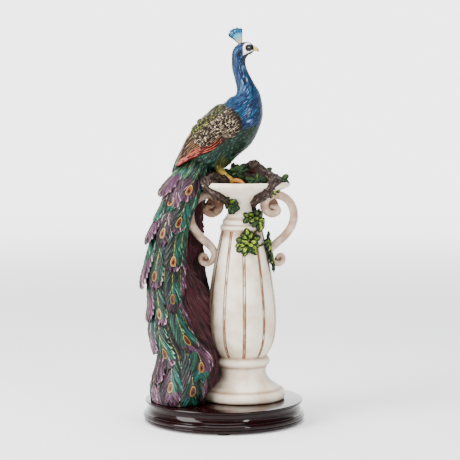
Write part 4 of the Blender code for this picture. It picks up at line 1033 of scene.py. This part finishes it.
# The same for the feathers that show no eye: three places, half width, hues and how far the tip stands out
PLAIN = [
    (289, 3, 262, 4.5, 226, 6.5, 8, 0, 0, 0, 40, 0, 3.4), (240, 7, 210, 7, 180, 7.5, 11, 0, 5, 0, 50, 0, 3.2),
    (192, 7, 160, 6.5, 122, 6, 11, 10, 85, 0, 50, 0, 3), (138, 5, 112, 5, 82, 4.5, 10, 90, 100, 0, 60, 0, 3),
    (100, 2, 70, 2, 36, 3, 11, 30, 100, 0, 70, 0, 3), (50, 3, 26, 4.5, 2, 6, 12, 60, 100, 0, 50, 30, 3),
    (288, 36, 268, 38, 244, 43, 13, 100, 100, 0, 90, 60, 12),
    (286, 30, 264, 31, 236, 35.5, 10, 100, 90, 0, 90, 60, 6), (262, 40, 240, 42, 212, 44, 11, 10, 0, 0, 40, 30, 8),
    (250, 39, 222, 42, 186, 45.5, 13, 100, 80, 0, 80, 130, 11), (212, 44, 190, 46, 160, 48, 11, 0, 10, 0, 50, 60, 7),
    (202, 40, 170, 44, 132, 47, 14, 100, 80, 0, 60, 130, 11), (152, 40, 128, 41, 94, 43, 13, 0, 90, 0, 60, 90, 9),
    (128, 46, 104, 47, 72, 48, 12, 100, 60, 0, 60, 120, 6), (110, 40, 86, 42, 54, 45, 13, 100, 60, 0, 70, 110, 8),
    (72, 37, 48, 38, 20, 38.5, 13, 100, 90, 0, 80, 80, 8), (50, 42, 22, 42, -14, 41, 15, 10, 60, 0, 50, 90, 7),
    (50, 34, 22, 35, -14, 35, 14, 90, 60, 0, 50, 90, 4.5), (50, 50, 22, 50, -14, 50, 15, 90, 20, 0, 50, 90, 5.5),
    (50, 21, 22, 20, -16, 19, 14, 20, 70, 0, 50, 90, 2.6), (289.5, 2, 276, 2, 256, 3, 5, 0, 0, 0, 10, 0, 4.2),
    (289.5, 10, 278, 11, 262, 13, 5, 0, 0, 0, 30, 0, 4.4), (289.5, 19, 280, 21, 266, 24, 5, 0, 0, 0, 10, 0, 4.4),
    (289.5, 28, 281, 31, 268, 35, 5, 0, 0, 0, 40, 0, 4.4), (289.5, 38, 282, 40, 266, 44, 7, 0, 0, 0, 20, 0, 6.4),
    (60, 21, 30, 20.5, 1, 19, 11, 60, 30, 0, 40, 100, 2.4),
    (274, 20, 252, 20.5, 228, 21.5, 8, 90, 90, 0, 90, 40, 2.4),
    (232, 20.5, 214, 21, 190, 21.5, 7, 0, 10, 0, 80, 30, 2.4),
    (200, 21.5, 172, 21.5, 140, 21.2, 7, 0, 0, 0, 30, 140, 0.6),
    (150, 21, 122, 20.5, 92, 21, 8, 60, 60, 0, 30, 140, 0.6),
    (104, 21.5, 76, 22.5, 46, 22.5, 9, 0, 0, 0, 30, 140, 0.6),
]
# Metres of half width for each millimetre that EYED names
EYED_WIDTH = 0.00092


def feather(row, half, hues, beyond=None, lift=4.6):
    """The plume that a row of one of the tables gives."""
    trail = [(row[k] / 1000, row[k + 1] / 100) for k in (0, 2, 4)]
    return plume(trail, half, [hue / 100 for hue in hues], beyond, lift, tone=chance.uniform(0, 1))


chance = np.random.default_rng(11)
front_sheets = []
for row in sorted(EYED, key=lambda row: row[4]):
    front_sheets.append(feather(row, row[7] * EYED_WIDTH, row[8:], row[6] / 1000))
for row in PLAIN:
    front_sheets.append(feather(row, row[6] / 1000, row[7:12], None, row[12]))
# Round the left side and the back the feathers hang in staggered columns
SIDE_PITCH, SIDE_LENGTH, SIDE_HALF = 0.043, 0.062, 0.0135
side_sheets = []
for column, share in enumerate((0.535, 0.64, 0.735, 0.83, 0.91)):
    for k in range(7):
        foot = 0.006 + SIDE_PITCH * k + 0.021 * (column % 2)
        if foot > 0.262:
            continue
        top = min(foot + SIDE_LENGTH, 0.289)
        hue = float(chance.uniform(0, 1) > 0.55)
        side = share + chance.uniform(-0.012, 0.012)
        trail = [(top, side), ((top + foot) / 2 + 0.004, side), (foot + 0.012, side)]
        hues = (hue, min(1.0, hue + 0.3), 1.0 - hue * 0.4, chance.uniform(0.1, 0.9), 0.5)
        side_sheets.append(plume(trail, SIDE_HALF, hues, min(0.010, foot + 0.011), tone=chance.uniform(0, 1)))
for side in (0.57, 0.65, 0.72, 0.80, 0.87, 0.93):
    hues = (chance.uniform(0, 1), chance.uniform(0, 1), 0, chance.uniform(0.2, 0.8), 0.4)
    trail = [(0.042, side), (0.018, side), (-0.014, side)]
    side_sheets.append(plume(trail, 0.013, hues, None, 2.0, -1.6, chance.uniform(0, 1)))

vane, p = finish("train_feathers")
off, along, u = p.lay("lay")
hue, pale, tone = p.lay("dye")
away = off.abs()
slant = along - away * 2.1
hairs = p.grain(p.joined(slant * 0.27, away * 0.06 + u * 0.8, tone * 60.0), 1.0, 3.0, 0.5)
broad = p.grain(p.joined(slant * 0.09, u * 0.9, tone * 60.0), 1.0, 2.0)
part, own, outward = p.lay("tuft")
# Painted shade just below each tuft, where the tuft above lies over it
under = (0.34 - part).ease(0.0, 0.30).most((part - 0.93).ease(0.0, 0.07)) * outward
# Painted highlight on the raised part of some of the tufts
crest = (part.ease(0.40, 0.75) * (1.0 - part.ease(0.84, 0.95)) * outward * own.ease(0.50, 0.80)).clamp()
clump = crest * 0.09 + hairs
greens = p.mix((clump * 0.5 + broad * 0.5).ease(0.42, 0.58), "04170f", "176f55")
greens = p.mix(broad.ease(0.50, 0.68) * 0.6, greens, "0f5f70")
# Painted highlight on the raised tufts, mint on the green and lilac on the mauve
greens = p.mix((clump.ease(0.56, 0.70) * (0.03 + crest)).clamp(), greens, "8cd2b2")
mauves = p.mix((clump * 0.5 + broad * 0.5).ease(0.43, 0.60), "200d18", "785068")
mauves = p.mix(broad.ease(0.52, 0.68) * 0.5, mauves, "4c3452")
mauves = p.mix((clump.ease(0.56, 0.72) * (0.03 + crest)).clamp(), mauves, "d8b8ca")
paint = p.mix((hue + (broad - 0.5) * 0.5 + (own - 0.5) * 0.3).ease(0.3, 0.7), greens, mauves)
# Painted shade under the tufts
paint = p.mix((under * (1.3 - hairs * 0.8)).clamp() * 0.85, paint, p.mix(hue, "041a12", "240c18"))
valley = (0.49 - broad + (0.5 - own) * 0.10).ease(0.0, 0.09) * 0.7
paint = p.mix(valley, paint, p.mix(hue, "04120d", "1a0a12"))
# Painted shade near each feather's root, under the tips of the feathers over it
root_shade = (0.62 - p.mask("from_root")).ease(0.0, 0.32)
paint = p.mix(root_shade * 0.6, paint, p.mix(hue, "04120d", "180a12"))
# Painted shade on the left of the feathers, and over the whole of those in the folds
paint = p.mix((p.mask("shade_depth") * (1.35 - hairs * 0.8)).clamp(), paint, p.mix(hue, "04100b", "1c0f17"))
# Painted shade down the left half of each feather, darkest at its left edge where it meets the next column
left_shade = ((0.25 - u).ease(0.0, 0.9) * 0.45 + (-0.72 - u).ease(0.0, 0.2) * 0.5).clamp()
paint = p.mix(left_shade, paint, p.mix(hue, "03100c", "18090f"))
plain = (-300.0 - along).ease(0.0, 1.0)
# Painted highlight along the right edge of each feather, fainter on the feathers with no eye
lip = (u + (hairs - 0.5) * 0.25).ease(0.86, 0.95) * part.ease(0.25, 0.5)
paint = p.mix(lip * (0.7 - plain * 0.4), paint, p.mix(hue, "a8d8c0", "dcb8cc"))
gold = p.mix(pale, hairs.dyed(0.38, 0.6, "5f6f18", "c2b84a"), hairs.dyed(0.38, 0.6, "7a6344", "d8c49c"))
spread = 0.32 + p.mask("from_root") * 0.45
stalk = (spread - away + (hairs - 0.5) * 1.2).ease(0.0, 0.35) * (2.0 - along).ease(0.0, 1.5)
between = (0.42 - (away - spread * 0.62).abs()).ease(0.05, 0.25) * (spread - 0.9).ease(0.0, 0.4)
paint = p.mix(stalk * (0.45 + p.mask("from_root") * 0.55) * (1.0 - plain * 0.5), paint, gold)
paint = p.mix(stalk * between * 0.7, paint, "3c4a24")
rise = (along * 0.245).most(along * -0.138)
ripple = (p.grain(p.place(), 420.0, 2.0) - 0.5) * 0.16
eye = (off * 0.275).hypot(rise) + ripple
for edge, soft, ring in (
        (1.24, 0.10, "14200c"), (1.10, 0.08, p.mix(tone, "9c7a30", "c4a566")), (0.90, 0.08, "2e2c10"),
        (0.74, 0.10, tone.dyed(0.35, 0.75, "54361a", "a8703c")), (0.56, 0.08, "6e2410"), (0.38, 0.08, "0e0506")):
    paint = p.mix((edge - eye).ease(0.0, soft), paint, ring)
on_eye = (1.15 - eye).ease(0.0, 0.1)
coat(vane, Base_Color=paint, Roughness=0.38 + 0.25 * hairs, Coat_Weight=0.13, Coat_Roughness=0.10,
     Normal=p.bump(hairs * (1.0 - on_eye) + eye.least(1.2) * on_eye * 0.5, 0.0012, 0.9))
front = build("train_front_feathers", front_sheets, vane)
sides = build("train_side_feathers", side_sheets, vane)
for piece in (front, sides):
    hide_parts("peacock_and_urn")

# The ivy: oval leaves in bunches along the branch and on a stem that trails down over the urn, cast
# in one with them. Dark green at the edges, brushed lime and cream over the veins.


LEAF_LENGTH, LEAF_HALF = 0.0098, 0.0034


def leaf(centre, outward, heading, size, tone):
    """An oval leaf from its stalk along heading, its two halves folded up a little."""
    heading = unit(heading)
    side = unit(np.cross(heading, outward))
    up = np.cross(side, heading)
    s = np.linspace(0, 1, 17)[:, None]
    u = np.linspace(-1, 1, 13)[None, :]
    length = LEAF_LENGTH * size
    oval = np.interp(s, (0, 0.10, 0.30, 0.50, 0.72, 0.90, 1.0), (0.12, 0.62, 0.96, 1.04, 0.94, 0.62, 0.10))
    width = oval * LEAF_HALF * size
    lift = (0.10 + 0.50 * np.abs(u) ** 1.4 - 0.95 * np.abs(u) ** 4) * width
    lift = lift + np.sin(s * pi * 0.9) * length * 0.20 - s ** 2 * length * 0.12
    lift = lift - 0.00030 * np.exp(-(u / 0.14) ** 2)
    grid = centre + (s * length)[..., None] * heading + (u * width)[..., None] * side + (lift + 0.0006)[..., None] * up
    return grid, False, {"leaf": triple(u, s, tone)}


def bunch(place, wide, tall, count, size, bright=1.0):
    """Leaves that spread from the middle of a patch. place takes an offset and gives a point and the way out."""
    made = []
    for k in range(count):
        turn = 2.4 * k + chance.uniform(-0.3, 0.3)
        reach = 0.80 * sqrt((k + 0.3) / count)
        point, outward = place(wide / 2 * reach * cos(turn), tall / 2 * reach * sin(turn))
        outward = unit(np.array(outward, float))
        right = unit(np.cross((0, 0, 1.0), outward))
        rise = np.cross(outward, right)
        rise *= -1 if rise[2] < 0 else 1
        heading = right * cos(turn) * 1.1 + rise * (sin(turn) - 0.45) + outward * chance.uniform(0.0, 0.25)
        point = point + outward * (0.0016 * (1 - reach))
        made.append(leaf(point - 0.003 * heading, outward, heading, size * chance.uniform(0.85, 1.12),
                         chance.uniform(0, bright)))
    return made


# On the urn: degrees round from the front, height, how far out, width and height of the bunch, leaves, size
URN_IVY = [
    (-36, 0.2615, 0.0045, 0.016, 0.021, 15, 1.05), (22, 0.2462, 0.0015, 0.010, 0.010, 5, 1.0),
    (46, 0.2430, 0.0035, 0.023, 0.019, 16, 1.1), (14, 0.2150, 0.0008, 0.026, 0.025, 20, 1.15),
    (72, 0.2165, 0.0030, 0.014, 0.017, 12, 1.1), (80, 0.1935, 0.0018, 0.014, 0.021, 12, 1.1),
    (56, 0.2760, 0.0020, 0.012, 0.007, 4, 0.9),
]
# Among the branch: right, up, depth, width and height, leaves, size
BRANCH_IVY = [
    (-3.5, 9.0, -0.010, 0.015, 0.013, 12, 1.0), (-13.0, 8.0, -0.006, 0.009, 0.009, 5, 0.9),
    (14.5, 1.6, -0.016, 0.022, 0.006, 10, 1.0), (39.5, 1.0, -0.014, 0.013, 0.008, 6, 1.1),
    (24.0, 8.0, 0.012, 0.014, 0.010, 6, 1.0),
]
chance = np.random.default_rng(5)
leaves = []
for degrees, height, out, wide, tall, count, size in URN_IVY:
    def side_of_urn(across, rise, degrees=degrees, height=height, out=out):
        angle = degrees + np.degrees(across / (np.interp(height + rise, moulding_z, moulding_r) + out))
        return on_urn(angle, height + rise, out), (sin(radians(angle)), -cos(radians(angle)), 0.12)
    leaves += bunch(side_of_urn, wide, tall, count, size, 0.35 if degrees < 0 else 1.0)
for right, up, y, wide, tall, count, size in BRANCH_IVY:
    def over_branch(across, rise, right=right, up=up, y=y):
        return at(right, up, y) + np.array([across, -rise * 0.3, rise]), (0.06, -0.86, 0.50)
    leaves += bunch(over_branch, wide, tall, count, size, 0.12)
ivy, p = finish("ivy_paint")
u, s, tone = p.lay("leaf")[0].abs(), p.lay("leaf")[1], p.lay("leaf")[2]
smear = p.grain(p.place(), 420.0, 4.0)
paint = smear.dyed(0.3, 0.7, "07180d", "1d4a26")
heart = (0.62 - u - (s - 0.45).abs() * 0.7 + (smear - 0.5) * 0.7).ease(0.0, 0.35)
paint = p.mix(heart * (tone * 1.1).clamp(), paint, smear.dyed(0.35, 0.6, "6f9a1c", "c9d24a"))
paint = p.mix(((0.16 - u).ease(0.0, 0.12) * s.ease(0.0, 0.2)).clamp() * 0.7, paint, "16381c")
paint = p.mix((u + smear * 0.3).ease(0.90, 1.10) * 0.9, paint, "040c06")
coat(ivy, Base_Color=paint, Roughness=0.32 + 0.2 * smear, Normal=p.bump(smear - u * 0.4, 0.0005, 0.6))
ivy_leaves = build("ivy_leaves", leaves, ivy)

STEM = [(58, 0.2546), (54, 0.2446), (51, 0.2359), (35, 0.2279), (22, 0.2183), (40, 0.2133), (64, 0.2143),
        (82, 0.2093), (84, 0.1953)]
stem_line = np.array([on_urn(degrees, height, 0.0006) for degrees, height in flow(STEM, 8)])
vine = hose(stem_line, np.full(len(stem_line), 0.0014), 14)
woody, p = finish("ivy_stem")
smear = p.grain(p.place(), 500.0, 4.0)
coat(woody, Base_Color=smear.dyed(0.3, 0.7, "33281f", "6d6a45"), Roughness=0.45 + 0.2 * smear,
     Normal=p.bump(smear, 0.0006, 0.8))
stem = build("ivy_stem", [(vine, True, {})], woody)
for piece in (ivy_leaves, stem):
    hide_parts("peacock_and_urn")

# The studio: a sheet of pale paper that curves up all round the figurine, a large soft light at the left,
# a small one at the right and one overhead. The camera stands where the photo was taken from.

paper, p = finish("paper")
tooth = p.grain(p.place(), 30.0, 3.0)
x, y, _ = p.place().parts()
away = x.hypot(y)
behind = (y / (away + 0.01)).ease(0.55, 0.93)
# The paper glows: not at all near the figurine, more with distance, and most on the wall behind it
glow = p.mix(away.ease(0.6, 3.4) * (0.12 + behind * 0.88), (0.05, 0.05, 0.05, 1.0), (1.0, 1.0, 1.0, 1.0))
coat(paper, Base_Color=p.mix(tooth, "f4f4f4", "f8f8f8"), Roughness=0.9 + 0.05 * tooth,
     Emission_Color=glow, Emission_Strength=2.6, Specular_IOR_Level=0.1)
FLAT, BEND = 2.6, 2.0
sweep = [(0.0005, 0.0), (0.4, 0.0), (1.5, 0.0), (FLAT, 0.0)]
sweep += [(FLAT + BEND * sin(radians(a)), BEND - BEND * cos(radians(a))) for a in range(5, 91, 5)]
sweep.append((FLAT + BEND, 2.6))
floor = form("floor", [(spin(sweep, 96), True, {})], paper)


def lamp(name, where, aim, wide, tall, power):
    light = bpy.data.lights.new(name, "AREA")
    light.shape = "RECTANGLE"
    light.size = wide
    light.size_y = tall
    light.energy = power
    made = bpy.data.objects.new(name, light)
    made.location = where
    made.rotation_euler = (Vector(aim) - Vector(where)).to_track_quat("-Z", "Y").to_euler()
    bpy.context.scene.collection.objects.link(made)


lamp("light_left", (-1.55, -0.95, 0.95), (0, 0, 0.2), 1.1, 1.9, 115)
lamp("light_right", (1.1, -1.6, 1.0), (0, 0, 0.2), 0.25, 0.7, 20)
lamp("light_above", (0.0, 0.0, 2.0), (0, 0, 0.1), 1.2, 1.2, 60)

world = bpy.data.worlds.new("studio")
world.use_nodes = True
room = world.node_tree.nodes["Background"]
room.inputs["Color"].default_value = (0.9, 0.95, 1.0, 1.0)
room.inputs["Strength"].default_value = 0.28
bpy.context.scene.world = world

lens = bpy.data.cameras.new("camera")
lens.lens = 123.4
lens.sensor_width = 36.0
camera = bpy.data.objects.new("camera", lens)
camera.location = (0.0073, -1.8864, 0.3831)
camera.rotation_euler = (radians(90 - 4.63), 0, 0)
bpy.context.scene.collection.objects.link(camera)
bpy.context.scene.camera = camera
